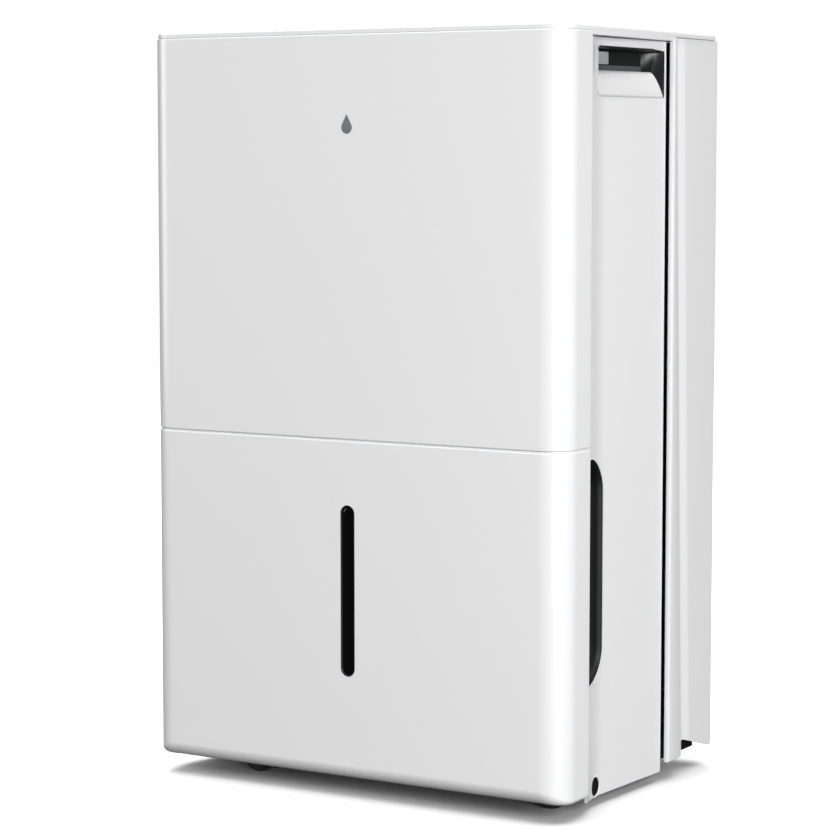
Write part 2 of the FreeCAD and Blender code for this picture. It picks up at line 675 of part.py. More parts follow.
def fascia_outline(grow, z0, z1):
    """Control panel outline grown all round by grow."""
    x = (-FASCIA_X - grow, FASCIA_X + grow)
    y = (FASCIA_Y[0] - grow, FASCIA_Y[1] + grow)
    return rounded(x, y, (z0, z1), FASCIA_R + grow)


def control_fascia():
    """Dark control panel with round button holes and a display opening."""
    z = (FASCIA_TOP - FASCIA_T + 0.05, FASCIA_TOP)
    plate = fascia_outline(0.0, *z)
    for x in BUTTONS.values():
        plate = plate.cut(rod(BUTTON_R + SLIP, (x, BUTTON_Y, z[0] - 1), (0, 0, 1), 5))
    return plate.cut(display_outline(0.1, z[0] - 1, z[1] + 1))


def display_outline(grow, z0, z1):
    """Display opening grown all round by grow."""
    half_x, half_y = DISPLAY_HALF
    x = (-half_x - grow, half_x + grow)
    y = (DISPLAY_Y - half_y - grow, DISPLAY_Y + half_y + grow)
    return rounded(x, y, (z0, z1), 3.0 + grow)


def display_lens():
    """Clear lens over the humidity read-out."""
    return display_outline(0.0, FASCIA_TOP - FASCIA_T + 0.05, FASCIA_TOP - 0.1)


def button(x):
    """Push button: domed head through the fascia, retaining flange and stem."""
    under = FASCIA_TOP - FASCIA_T
    head = rod(BUTTON_R, (x, BUTTON_Y, under - 1), (0, 0, 1), BUTTON_TOP - under + 1)
    head = fillet_where(head, 0.6, lambda c, e: c.z > BUTTON_TOP - 1e-3)
    flange = rod(BUTTON_R + 1.6, (x, BUTTON_Y, under - 2.4), (0, 0, 1), 2.0)
    stem_bottom = BOARD_Z + BOARD_T + BUTTON_TRAVEL + 0.5
    stem = rod(2.5, (x, BUTTON_Y, stem_bottom), (0, 0, 1), under - 2 - stem_bottom)
    return fuse([head, flange, stem])


def control_board():
    """Printed circuit under the fascia, with parts along its rear half."""
    top = BOARD_Z + BOARD_T
    board = box((-FASCIA_X + 8, FASCIA_X - 8), (FASCIA_Y[0] + 6, FASCIA_Y[1] - 2), (BOARD_Z, top))
    parts = []
    for i in range(6):
        x = -70.0 + 28.0 * i
        parts.append(rod(3.5, (x, FASCIA_Y[1] - 9, BOARD_Z - 8), (0, 0, 1), 8.5))
    parts.append(box((-24, 24), (FASCIA_Y[0] + 10, FASCIA_Y[0] + 24), (BOARD_Z - 5, BOARD_Z + 0.5)))
    return fuse([board] + parts)


def outlet_grille():
    """Air outlet in the top cover: frame with long slats and two cross ribs."""
    z = (HEIGHT - 6.0, HEIGHT - 0.6)
    frame = rounded((-OUTLET_X, OUTLET_X), OUTLET_Y, z, 6.0)
    hole_y = (OUTLET_Y[0] + 4, OUTLET_Y[1] - 4)
    hole = rounded((-OUTLET_X + 4, OUTLET_X - 4), hole_y, (z[0] - 1, z[1] + 1), 3.0)
    bars = []
    pitch = (OUTLET_Y[1] - OUTLET_Y[0] - 8.0) / (OUTLET_SLATS + 1)
    for i in range(1, OUTLET_SLATS + 1):
        y = OUTLET_Y[0] + 4.0 + pitch * i
        bars.append(box((-OUTLET_X + 3, OUTLET_X - 3), (y - 0.9, y + 0.9), (z[0] + 0.5, z[1] - 0.6)))
    for x in (-OUTLET_X / 3, OUTLET_X / 3):
        bars.append(box((x - 1.2, x + 1.2), (OUTLET_Y[0] + 3, OUTLET_Y[1] - 3), (z[0] + 0.5, z[1] - 1.2)))
    return fuse([frame.cut(hole)] + bars)


def front_badge():
    """Plain raindrop inlay, flush in the upper front panel."""
    return raindrop(0.0, FRONT + 0.05, FRONT + BADGE_DEEP - 0.05)


def raindrop(grow, y0, y1):
    """Raindrop prism between two y values, grown by grow."""
    r = BADGE_R + grow
    tip_up = BADGE_R * 2.1 + grow * 1.6
    lift = math.asin(r / tip_up)
    side = V(r * math.cos(lift), y0, BADGE_Z + r * math.sin(lift))
    other = V(-side.x, y0, side.z)
    tip = V(0, y0, BADGE_Z + tip_up)
    bottom = V(0, y0, BADGE_Z - r)
    arc = Part.Arc(side, bottom, other).toShape()
    wire = Part.Wire([arc, Part.makeLine(other, tip), Part.makeLine(tip, side)])
    return Part.Face(wire).extrude(V(0, y1 - y0, 0))


# ---------------------------------------------------------------- base, bay and bulkhead
def base():
    """Tray with a deck, skirt, caster bosses, compressor studs and rear screw bosses."""
    outer = rounded((-BASE_HALF_W, BASE_HALF_W), BASE_Y, (BASE_BOTTOM, DECK_Z), 8.0)
    inner = rounded(
        (-BASE_HALF_W + SKIN, BASE_HALF_W - SKIN),
        (BASE_Y[0] + SKIN, BASE_Y[1] - SKIN),
        (BASE_BOTTOM - 1, DECK_Z - SKIN),
        5.0,
    )
    tray = outer.cut(inner)
    boss_tall = DECK_Z - BOSS_BOTTOM - 1
    bosses = [rod(12.0, (x, y, BOSS_BOTTOM), (0, 0, 1), boss_tall) for x, y in casters().values()]
    studs = [rod(4.0, (x, y, DECK_Z - 1), (0, 0, 1), FOOT_TALL + 7) for x, y in compressor_studs()]
    backs = []
    back_long = REAR_BACK_Y - SKIN - SEAM - BASE_Y[1] + 12
    for x, z in REAR_SCREWS:
        if z < DECK_Z:
            backs.append(rod(SCREW_BOSS_R, (x, BASE_Y[1] - 12, z), (0, 1, 0), back_long))
    tray = fuse([tray] + bosses + studs + backs)
    for x, y in casters().values():
        tray = tray.cut(rod(STEM_R + RUNNING, (x, y, BOSS_BOTTOM - 1), (0, 0, 1), 20))
    for x, z in REAR_SCREWS:
        if z < DECK_Z:
            tray = tray.cut(rod(SCREW_R + RUNNING, (x, BASE_Y[1] - 13, z), (0, 1, 0), 40))
    return tray


def bucket_bay():
    """Liner round the bucket: two walls, back and ceiling, with the drip hole."""
    x, back, top = BAY_HALF_W, BAY_BACK_Y, BAY_TOP
    z0 = DECK_Z + 0.3
    outer = box((-x - THIN, x + THIN), (BAY_FRONT_Y, back + THIN), (z0, top + THIN))
    inner = box((-x, x), (BAY_FRONT_Y - 1, back), (z0 - 1, top))
    hole = rod(DRIP_R + SEAM, (DRIP_AT[0], DRIP_AT[1], top - 1), (0, 0, 1), THIN + 2)
    return outer.cut(inner).cut(hole)


def bulkhead():
    """Upright wall that carries the duct and the coils, with bosses for the rear screws."""
    y = (DUCT_Y[1] + 0.5, DUCT_Y[1] + 0.5 + THIN)
    x = SIDE_INNER_X - 2.0
    wall = box((-x, x), y, (PAN_Z[0] + 1, HEIGHT - SKIN - 5))
    pins = []
    for sx, z in REAR_SCREWS:
        if z > DECK_Z:
            pins.append(rod(SCREW_BOSS_R, (sx, y[0], z), (0, 1, 0), REAR_BACK_Y - SKIN - SEAM - y[0]))
    wall = fuse([wall] + pins)
    wall = wall.cut(rod(INLET_R + 2, (0, y[0] - 1, FAN_CENTRE_Z), (0, 1, 0), 10))
    trough_x = (DRIP_AT[0] - TROUGH_HALF_W - SEAM, DRIP_AT[0] + TROUGH_HALF_W + SEAM)
    wall = wall.cut(box(trough_x, (y[0] - 1, y[1] + 1), (PAN_Z[0] - 1, PAN_Z[0] + TROUGH_TALL + SEAM)))
    for sx, z in REAR_SCREWS:
        if z > DECK_Z:
            wall = wall.cut(rod(SCREW_R + RUNNING, (sx, REAR_BACK_Y - 30, z), (0, 1, 0), 40))
    return wall


# ---------------------------------------------------------------- bucket
def bucket_tank():
    """Open tank with rounded corners."""
    outer = rounded((-TANK_HALF_W, TANK_HALF_W), TANK_Y, TANK_Z, TANK_R)
    w = TANK_WALL
    inner = rounded(
        (-TANK_HALF_W + w, TANK_HALF_W - w),
        (TANK_Y[0] + w, TANK_Y[1] - w),
        (TANK_Z[0] + w, TANK_Z[1] + 1),
        TANK_R - w,
    )
    return outer.cut(inner)


def bucket_lid():
    """Lid with an inner skirt, drip funnel, float guide and two lugs for the bail."""
    z0 = TANK_Z[1] + LID_GAP
    gap = TANK_WALL + SLIP
    plate = rounded(
        (-TANK_HALF_W, TANK_HALF_W), TANK_Y, (z0, z0 + LID_T), TANK_R
    )
    skirt = rounded(
        (-TANK_HALF_W + gap, TANK_HALF_W - gap),
        (TANK_Y[0] + gap, TANK_Y[1] - gap),
        (z0 - 7, z0 + 0.5),
        TANK_R - gap,
    )
    hollow = rounded(
        (-TANK_HALF_W + gap + THIN, TANK_HALF_W - gap - THIN),
        (TANK_Y[0] + gap + THIN, TANK_Y[1] - gap - THIN),
        (z0 - 8, z0),
        TANK_R - gap - THIN,
    )
    guide = rod(FLOAT_STEM_R + 3, (FLOAT_AT[0], FLOAT_AT[1], z0 + 1), (0, 0, 1), LID_T + 3)
    pieces = [plate, skirt, guide]
    py, pz = BAIL_PIVOT
    for side in (-1, 1):
        x0 = side * LUG_X
        lug = box((x0 - 3, x0 + 3), (py - 7, py + 7), (z0 + 1, pz))
        crown = rod(7.0, (x0 - 3, py, pz), (1, 0, 0), 6)
        pieces += [lug, crown]
    lid = fuse(pieces).cut(hollow)
    lid = lid.cut(rod(BAIL_PIN_R + RUNNING, (-LUG_X - 10, py, pz), (1, 0, 0), 2 * LUG_X + 20))
    lid = lid.cut(rod(FLOAT_STEM_R + RUNNING, (FLOAT_AT[0], FLOAT_AT[1], z0 - 10), (0, 0, 1), 30))
    funnel = Part.makeCone(7.0, 15.0, LID_T + 0.4, V(DRIP_AT[0], DRIP_AT[1], z0 - 0.2))
    lid = lid.cut(funnel)
    spout = rounded(
        (-TANK_HALF_W + 10, -TANK_HALF_W + 70), (TANK_Y[0] + 10, TANK_Y[0] + 66), (z0 - 1, z0 + 9), 10.0
    )
    return lid.cut(spout)


def bucket_handle():
    """Bail of round rod with pins turned into the lid's lugs and a grip sleeve; lies rearwards."""
    py, pz = BAIL_PIVOT
    out = LUG_X + 9.0
    far = py + BAIL_ARM
    corners = [(-out, py - 6, pz), (-out, far, pz), (out, far, pz), (out, py - 6, pz)]
    rod_path = pipe(corners, BAIL_ROD_R, 10.0)
    pins = []
    for side in (-1, 1):
        x0 = LUG_X - 3.6 if side > 0 else -out
        pins.append(rod(BAIL_PIN_R, (x0, py, pz), (1, 0, 0), out - LUG_X + 3.6))
    grip = rod(BAIL_ROD_R + 1.8, (-38, far, pz), (1, 0, 0), 76)
    return fuse([rod_path, grip] + pins)


def bucket_float():
    """Hollow-looking float block with its guide stem through the lid."""
    x, y = FLOAT_AT
    sx, sy, sz = FLOAT_SIZE
    z = FLOAT_REST_Z
    block = rounded((x - sx / 2, x + sx / 2), (y - sy / 2, y + sy / 2), (z, z + sz), 8.0)
    top = TANK_Z[1] + STEM_PROUD
    stem = rod(FLOAT_STEM_R, (x, y, z + sz - 1), (0, 0, 1), top - z - sz + 1)
    return fuse([block, stem])


def bucket_switch():
    """Bucket-full switch under the bay ceiling, with hinge cheeks for its lever."""
    x, y = FLOAT_AT
    z1 = BAY_TOP - 0.3
    body = box((x - 8, x + 8), (y + 4, y + 32), (LEVER_Z + 9, z1))
    cheeks = []
    for side in (-1, 1):
        cheek_x = x + side * 6.5
        cheeks.append(box((cheek_x - 1.5, cheek_x + 1.5), (y + 24, y + 32), (LEVER_Z - 4, LEVER_Z + 10)))
    whole = fuse([body] + cheeks)
    return whole.cut(rod(LEVER_PIN_R + RUNNING, (x - 20, y + 28, LEVER_Z), (1, 0, 0), 40))


def switch_lever():
    """Long flat lever over the float stem, on a pin in the switch's cheeks."""
    x, y = FLOAT_AT
    pin = rod(LEVER_PIN_R, (x - 8, y + 28, LEVER_Z), (1, 0, 0), 16)
    hub = rod(3.0, (x - 4.5, y + 28, LEVER_Z), (1, 0, 0), 9)
    blade = box((x - 4.5, x + 4.5), (y - 8, y + 28), (LEVER_Z - 0.6, LEVER_Z + 0.6))
    return fuse([pin, hub, blade])


# ---------------------------------------------------------------- air path
def fan_duct():
    """Scroll housing round the fan, open at the top and with a round inlet at the back."""
    y = DUCT_Y
    top = HEIGHT - 6.0 - 1.0

    def form(inset, y0, y1, z_top):
        r = DUCT_HALF_W - inset
        drum = rod(r, (0, y0, FAN_CENTRE_Z), (0, 1, 0), y1 - y0)
        chimney = box((-r, r), (y0, y1), (FAN_CENTRE_Z, z_top))
        return drum.fuse(chimney).removeSplitter()

    shell = form(0.0, y[0], y[1], top).cut(form(THIN, y[0] + THIN, y[1] - THIN, top + 5))
    shell = shell.cut(rod(INLET_R, (0, y[1] - THIN - 1, FAN_CENTRE_Z), (0, 1, 0), THIN + 2))
    return shell.cut(rod(SHAFT_R + 4, (0, y[0] - 1, FAN_CENTRE_Z), (0, 1, 0), THIN + 2))


def fan_wheel():
    """Forward-curved centrifugal wheel: back plate, hub, blades and front ring."""
    y0, y1 = FAN_Y
    plate = rod(FAN_R, (0, y0, FAN_CENTRE_Z), (0, 1, 0), 2.0)
    ring = rod(FAN_R, (0, y1 - 3, FAN_CENTRE_Z), (0, 1, 0), 3.0)
    ring = ring.cut(rod(FAN_R - 4, (0, y1 - 4, FAN_CENTRE_Z), (0, 1, 0), 5.0))
    hub = rod(SHAFT_R + 7, (0, y0, FAN_CENTRE_Z), (0, 1, 0), HUB_LONG)
    blades = []
    blade = box((FAN_R - 15, FAN_R - 1.2), (y0 + 1.5, y1 - 1.5), (FAN_CENTRE_Z - 0.8, FAN_CENTRE_Z + 0.8))
    blade.rotate(V(FAN_R - 1.5, 0, FAN_CENTRE_Z), V(0, 1, 0), 28)
    for i in range(FAN_BLADES):
        copy = blade.copy()
        copy.rotate(V(0, 0, FAN_CENTRE_Z), V(0, 1, 0), 360.0 / FAN_BLADES * i)
        blades.append(copy)
    wheel = fuse([plate, ring, hub] + blades)
    return wheel.cut(rod(SHAFT_R, (0, y0 - 5, FAN_CENTRE_Z), (0, 1, 0), 40))


def fan_shaft():
    """Motor shaft, running in the motor and pressed into the fan hub."""
    y0 = DUCT_Y[0] - MOTOR_LEN + 4
    return rod(SHAFT_R, (0, y0, FAN_CENTRE_Z), (0, 1, 0), FAN_Y[0] + HUB_LONG - y0)


def fan_motor():
    """Round motor on the front of the duct, with a flange and three lugs."""
    face = DUCT_Y[0] - 0.3
    body = rod(MOTOR_R, (0, face - MOTOR_LEN, FAN_CENTRE_Z), (0, 1, 0), MOTOR_LEN - 4)
    body = fillet_where(body, 6.0, lambda c, e: c.y < face - MOTOR_LEN + 1e-3)
    flange = rod(MOTOR_R + 6, (0, face - 5, FAN_CENTRE_Z), (0, 1, 0), 5)
    lugs = []
    for i in range(3):
        a = math.radians(90 + 120 * i)
        at = (math.cos(a) * (MOTOR_R + 8), face - 5, FAN_CENTRE_Z + math.sin(a) * (MOTOR_R + 8))
        lugs.append(rod(8.0, at, (0, 1, 0), 5))
    whole = fuse([body, flange] + lugs)
    start = (0, face - MOTOR_LEN + 3, FAN_CENTRE_Z)
    return whole.cut(rod(SHAFT_R + RUNNING, start, (0, 1, 0), MOTOR_LEN + 5))


# ---------------------------------------------------------------- refrigeration
def coil(y):
    """Finned coil: upright fins on level tubes joined by hairpin bends."""
    mid = (y[0] + y[1]) / 2
    pitch = (COIL_Z[1] - COIL_Z[0] - 24.0) / (COIL_PASSES - 1)
    levels = [COIL_Z[0] + 12.0 + pitch * i for i in range(COIL_PASSES)]
    end = COIL_HALF_W + TUBE_PROUD
    tubes = [rod(TUBE_R, (-end, mid, z), (1, 0, 0), 2 * end) for z in levels]
    bends = []
    for i in range(COIL_PASSES - 1):
        side = -1 if i % 2 == 0 else 1
        middle = (levels[i] + levels[i + 1]) / 2
        turn = Part.makeTorus(pitch / 2, TUBE_R, V(side * end, mid, middle), V(0, 1, 0))
        half = box(
            (min(side * end, side * (end + 40)), max(side * end, side * (end + 40))),
            (mid - 10, mid + 10),
            (levels[i] - 10, levels[i + 1] + 10),
        )
        bends.append(turn.common(half))
    count = int(2 * COIL_HALF_W / FIN_PITCH)
    fins = []
    for i in range(count + 1):
        x = -count * FIN_PITCH / 2 + FIN_PITCH * i
        fins.append(box((x - FIN_T / 2, x + FIN_T / 2), y, COIL_Z))
    return fuse(tubes + bends + fins)


def drain_pan():
    """Tray under both coils with a trough to the drip spout and a nipple for the rear drain."""
    x = COIL_HALF_W + 4.0
    y = (CONDENSER_Y[0] - 3.0, EVAPORATOR_Y[1] + 5.0)
    z = PAN_Z
    tray = box((-x, x), y, z)
    half = TROUGH_HALF_W
    arm_y = (DRIP_AT[1] - half, y[0] + 1)
    arm = box((DRIP_AT[0] - half, DRIP_AT[0] + half), arm_y, (z[0], z[0] + TROUGH_TALL))
    spout = rod(DRIP_R, (DRIP_AT[0], DRIP_AT[1], z[0] - 9), (0, 0, 1), 10)
    dx, dy = DRAIN_AT[0], REAR_BACK_Y - CUP_DEPTH - ELBOW + SPIGOT_R
    nipple = rod(SPIGOT_BORE - RUNNING, (dx, dy, z[0] - 14), (0, 0, 1), 15)
    pan = fuse([tray, arm, spout, nipple])
    pan = pan.cut(box((-x + THIN, x - THIN), (y[0] + THIN, y[1] - THIN), (z[0] + THIN, z[1] + 1)))
    trough = box(
        (DRIP_AT[0] - half + THIN, DRIP_AT[0] + half - THIN),
        (arm_y[0] + THIN, arm_y[1] + THIN + 1),
        (z[0] + THIN, z[1] + 1),
    )
    pan = pan.cut(trough)
    pan = pan.cut(rod(DRIP_R - THIN, (DRIP_AT[0], DRIP_AT[1], z[0] - 10), (0, 0, 1), 20))
    return pan.cut(rod(3.5, (dx, dy, z[0] - 15), (0, 0, 1), 25))


def compressor_studs():
    """Places of the three compressor studs."""
    x, y = COMPRESSOR_AT
    spots = []
    for i in range(3):
        a = math.radians(270 + 120 * i)
        spots.append((x + FOOT_CIRCLE * math.cos(a), y + FOOT_CIRCLE * math.sin(a)))
    return spots


def compressor():
    """Rotary compressor: domed can on a three-lobed mounting plate."""
    x, y = COMPRESSOR_AT
    z0, z1 = COMPRESSOR_Z
    can = rod(COMPRESSOR_R, (x, y, z0 + 2), (0, 0, 1), z1 - z0 - 2)
    can = fillet_where(can, 18.0, lambda c, e: c.z > z1 - 1e-3)
    discs = [rod(13.0, (sx, sy, z0), (0, 0, 1), 3.0) for sx, sy in compressor_studs()]
    plate = rod(COMPRESSOR_R + 2, (x, y, z0), (0, 0, 1), 3.0)
    line_y = (CONDENSER_Y[0] + CONDENSER_Y[1]) / 2
    stub = rod(7.0, (x, line_y, z1 - 1), (0, 0, 1), 6)
    terminals = box((x + 8, x + 34), (y - 13, y + 13), (z1 - 1, z1 + 9))
    whole = fuse([can, plate, stub, terminals] + discs)
    for sx, sy in compressor_studs():
        whole = whole.cut(rod(7.5, (sx, sy, z0 - 1), (0, 0, 1), 5))
    return whole.cut(rod(TUBE_R + RUNNING, (x, line_y, z1 - 3), (0, 0, 1), 20))


def compressor_feet():
    """Three rubber feet between the deck studs and the compressor plate."""
    feet = []
    for sx, sy in compressor_studs():
        low = rod(12.0, (sx, sy, DECK_Z + 0.1), (0, 0, 1), FOOT_TALL - 0.4)
        neck = rod(7.4, (sx, sy, DECK_Z + 1), (0, 0, 1), FOOT_TALL + 3.5)
        foot = fuse([low, neck]).cut(rod(4.0 + RUNNING, (sx, sy, DECK_Z - 1), (0, 0, 1), 40))
        feet.append(foot)
    return group(feet)


def suction_accumulator():
    """Small bottle beside the compressor, strapped to it."""
    x, y = RECEIVER_AT
    r = RECEIVER_R
    bottle = rod(r, (x, y, RECEIVER_Z[0]), (0, 0, 1), RECEIVER_Z[1] - RECEIVER_Z[0])
    bottle = fillet_where(bottle, 10.0, lambda c, e: e.Length > 100 and abs(c.x - x) < 1e-3)
    return bottle.cut(rod(TUBE_R + RUNNING, (x, y, RECEIVER_Z[1] - 8), (0, 0, 1), 20))


def discharge_pipe():
    """Hot gas line from the compressor to the top of the condenser."""
    x = COMPRESSOR_AT[0]
    mid = (CONDENSER_Y[0] + CONDENSER_Y[1]) / 2
    top = COIL_Z[1] - 12.0
    low = COMPRESSOR_Z[1] + 22
    out = COIL_HALF_W + PIPE_OUT
    points = [(x, mid, COMPRESSOR_Z[1] - 2), (x, mid, low), (out, mid, low), (out, mid, top)]
    points.append((COIL_HALF_W + TUBE_PROUD + JOINT_GAP, mid, top))
    return pipe(points, TUBE_R, 8.0)


def suction_pipe():
    """Cold gas line from the foot of the evaporator to the accumulator."""
    x, y = RECEIVER_AT
    foot = COIL_Z[0] + 12.0
    low = COMPRESSOR_Z[1] + 35
    out = COIL_HALF_W + PIPE_OUT
    start = (COIL_HALF_W + TUBE_PROUD + JOINT_GAP, y, foot)
    points = [start, (out, y, foot), (out, y, low), (x, y, low), (x, y, RECEIVER_Z[1] - 6)]
    return pipe(points, TUBE_R, 8.0)


def capillary_pipe():
    """Thin line from the foot of the condenser to the top of the evaporator, between the coils."""
    y0 = (CONDENSER_Y[0] + CONDENSER_Y[1]) / 2
    y1 = (EVAPORATOR_Y[0] + EVAPORATOR_Y[1]) / 2
    between = (y0 + y1) / 2
    foot = COIL_Z[0] + 12.0
    top = COIL_Z[1] - 12.0
    start = COIL_HALF_W + TUBE_PROUD + JOINT_GAP
    out = COIL_HALF_W + 22
    points = [(start, y0, foot), (out, y0, foot), (out, between, foot), (out, between, top)]
    points += [(out, y1, top), (start, y1, top)]
    return pipe(points, 2.0, 6.0)


# ---------------------------------------------------------------- casters
def casters():
    """Swivel axis of each caster on the floor plan."""
    return {
        "front_right": (CASTER_X, CASTER_FRONT_Y),
        "front_left": (-CASTER_X, CASTER_FRONT_Y),
        "rear_right": (CASTER_X, CASTER_REAR_Y),
        "rear_left": (-CASTER_X, CASTER_REAR_Y),
    }


def placed_caster(shape, name):
    """Moves a caster piece made at the origin, trailing along +X, to its place."""
    x, y = casters()[name]
    shape.rotate(V(0, 0, 0), V(0, 0, 1), CASTER_TURN[name])
    shape.translate(V(x, y, 0))
    return shape


def caster_fork(name):
    """Swivel stem, hood plate and the web between the wheels that carries the axle."""
    stem = rod(STEM_R, (0, 0, HOOD_Z + 0.5), (0, 0, 1), STEM_TOP - HOOD_Z - 0.5)
    hood = rod(11.0, (0, 0, HOOD_Z), (0, 0, 1), HOOD_T)
    between = WHEEL_GAP / 2 - SLIP
    web = box((-9.0, CASTER_TRAIL + AXLE_R + 3.5), (-between, between), (WHEEL_R - 6, HOOD_Z + 1.5))
    fork = fuse([stem, hood, web])
    fork = fork.cut(rod(AXLE_R + RUNNING, (CASTER_TRAIL, -20, WHEEL_R), (0, 1, 0), 40))
    return placed_caster(fork, name)


def caster_wheels(name):
    """Wheel pair on its axle: rounded tyres with dished hubs."""
    wheels = []
    for side in (-1, 1):
        y0 = WHEEL_GAP / 2 if side > 0 else -WHEEL_GAP / 2 - WHEEL_W
        wheel = rod(WHEEL_R, (CASTER_TRAIL, y0, WHEEL_R), (0, 1, 0), WHEEL_W)
        wheel = fillet_where(wheel, 2.0, lambda c, e: e.Length > 2 * WHEEL_R)
        dish_y = y0 + WHEEL_W - 1.5 if side > 0 else y0 - 0.5
        dish = rod(WHEEL_R - 6, (CASTER_TRAIL, dish_y, WHEEL_R), (0, 1, 0), 2.0)
        cap = rod(4.5, (CASTER_TRAIL, y0 + (1 if side > 0 else 0), WHEEL_R), (0, 1, 0), WHEEL_W - 1)
        wheels += [wheel.cut(dish), cap]
    length = WHEEL_GAP + 2 * WHEEL_W - 4
    axle = rod(AXLE_R, (CASTER_TRAIL, -length / 2, WHEEL_R), (0, 1, 0), length)
    return placed_caster(fuse(wheels + [axle]), name)


PARTS = {
    "upper_front_panel": upper_front_panel,
    "front_badge": front_badge,
    "bucket_front": bucket_front,
    "water_window": water_window,
    "bucket_tank": bucket_tank,
    "bucket_lid": bucket_lid,
    "bucket_handle": bucket_handle,
    "bucket_float": bucket_float,
    "bucket_switch": bucket_switch,
    "switch_lever": switch_lever,
    "right_side_panel": right_side_panel,
    "left_side_panel": lambda: mirrored(right_side_panel()),
    "right_handle_scoop": right_handle_scoop,
    "left_handle_scoop": lambda: mirrored(right_handle_scoop()),
    "right_grip_liner": right_grip_liner,
    "left_grip_liner": lambda: mirrored(right_grip_liner()),
    "side_screw_plugs": side_screw_plugs,
    "gap_strips": gap_strips,
    "base": base,
    "bucket_bay": bucket_bay,
    "bulkhead": bulkhead,
    "top_cover": top_cover,
    "outlet_grille": outlet_grille,
    "control_fascia": control_fascia,
    "display_lens": display_lens,
    "control_board": control_board,
    "rear_cover": rear_cover,
    "rear_screws": rear_screws,
    "filter_grille": filter_grille,
    "filter_mesh": filter_mesh,
    "drain_cup": drain_cup,
    "drain_cap": drain_cap,
    "cord_gland": cord_gland,
    "fan_duct": fan_duct,
    "fan_wheel": fan_wheel,
    "fan_shaft": fan_shaft,
    "fan_motor": fan_motor,
    "evaporator": lambda: coil(EVAPORATOR_Y),
    "condenser": lambda: coil(CONDENSER_Y),
    "drain_pan": drain_pan,
    "compressor": compressor,
    "compressor_feet": compressor_feet,
    "suction_accumulator": suction_accumulator,
    "discharge_pipe": discharge_pipe,
    "suction_pipe": suction_pipe,
    "capillary_pipe": capillary_pipe,
}
for button_name, button_x in BUTTONS.items():
    PARTS[button_name] = lambda x=button_x: button(x)
for corner_name in CASTER_TURN:
    PARTS[corner_name + "_caster_fork"] = lambda name=corner_name: caster_fork(name)
    PARTS[corner_name + "_caster_wheels"] = lambda name=corner_name: caster_wheels(name)

os.makedirs("parts", exist_ok=True)
for node, make in PARTS.items():
    make().exportStep("parts/" + node + ".step")
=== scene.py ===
"""Looks of the portable dehumidifier: moulded shells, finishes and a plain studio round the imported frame.

Sizes are in millimetres until a mesh is made; +Z is up and the front faces -Y, as in the frame.
"""

import json
import logging
import math
from dataclasses import dataclass
from enum import Enum
from typing import Callable, Iterable, Sequence

import bmesh
import bpy
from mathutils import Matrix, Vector


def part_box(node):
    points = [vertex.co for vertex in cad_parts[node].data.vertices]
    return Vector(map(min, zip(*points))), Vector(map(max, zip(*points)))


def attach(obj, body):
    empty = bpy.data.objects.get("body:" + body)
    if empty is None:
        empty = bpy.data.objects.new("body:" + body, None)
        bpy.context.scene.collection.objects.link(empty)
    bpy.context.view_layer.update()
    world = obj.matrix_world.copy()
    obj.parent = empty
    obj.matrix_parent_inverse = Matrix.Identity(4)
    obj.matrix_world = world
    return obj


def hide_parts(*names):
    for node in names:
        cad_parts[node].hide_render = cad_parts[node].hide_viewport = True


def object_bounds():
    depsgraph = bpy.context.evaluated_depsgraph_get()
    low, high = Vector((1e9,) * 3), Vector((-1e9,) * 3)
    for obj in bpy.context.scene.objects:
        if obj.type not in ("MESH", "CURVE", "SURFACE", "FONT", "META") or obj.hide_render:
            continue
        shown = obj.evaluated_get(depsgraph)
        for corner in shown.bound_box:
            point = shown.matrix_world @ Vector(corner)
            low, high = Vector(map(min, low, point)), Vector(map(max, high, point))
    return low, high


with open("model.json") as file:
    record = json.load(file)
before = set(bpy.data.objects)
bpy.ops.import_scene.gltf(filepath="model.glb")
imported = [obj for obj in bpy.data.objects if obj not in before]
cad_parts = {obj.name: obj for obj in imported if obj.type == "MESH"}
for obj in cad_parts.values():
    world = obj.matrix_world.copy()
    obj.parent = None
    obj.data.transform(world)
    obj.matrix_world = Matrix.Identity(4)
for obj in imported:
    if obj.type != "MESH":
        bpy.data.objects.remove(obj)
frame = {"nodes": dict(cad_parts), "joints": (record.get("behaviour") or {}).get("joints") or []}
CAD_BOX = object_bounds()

LOG = logging.getLogger("dehumidifier")
MM = 0.001
CREASE_DEG = 38.0
KEYS = ("button_power", "button_fan", "button_timer", "button_up", "button_down")
CORNERS = ("front_right", "front_left", "rear_right", "rear_left")
Point = tuple[float, float, float]
Flat = tuple[float, float]
Tree = bpy.types.NodeTree
Node = bpy.types.Node
Thing = bpy.types.Object


# ---------------------------------------------------------------- nodes and colours
def linear(hex_colour: str) -> tuple[float, float, float, float]:
    """Turns an sRGB hex colour into linear RGBA.

    Args:
        hex_colour: six hex digits, with or without a leading hash.

    Returns:
        Linear red, green, blue and an alpha of 1.
    """
    digits = hex_colour.lstrip("#")
    values = []
    for i in (0, 2, 4):
        c = int(digits[i : i + 2], 16) / 255
        values.append(c / 12.92 if c <= 0.04045 else ((c + 0.055) / 1.055) ** 2.4)
    return (values[0], values[1], values[2], 1.0)


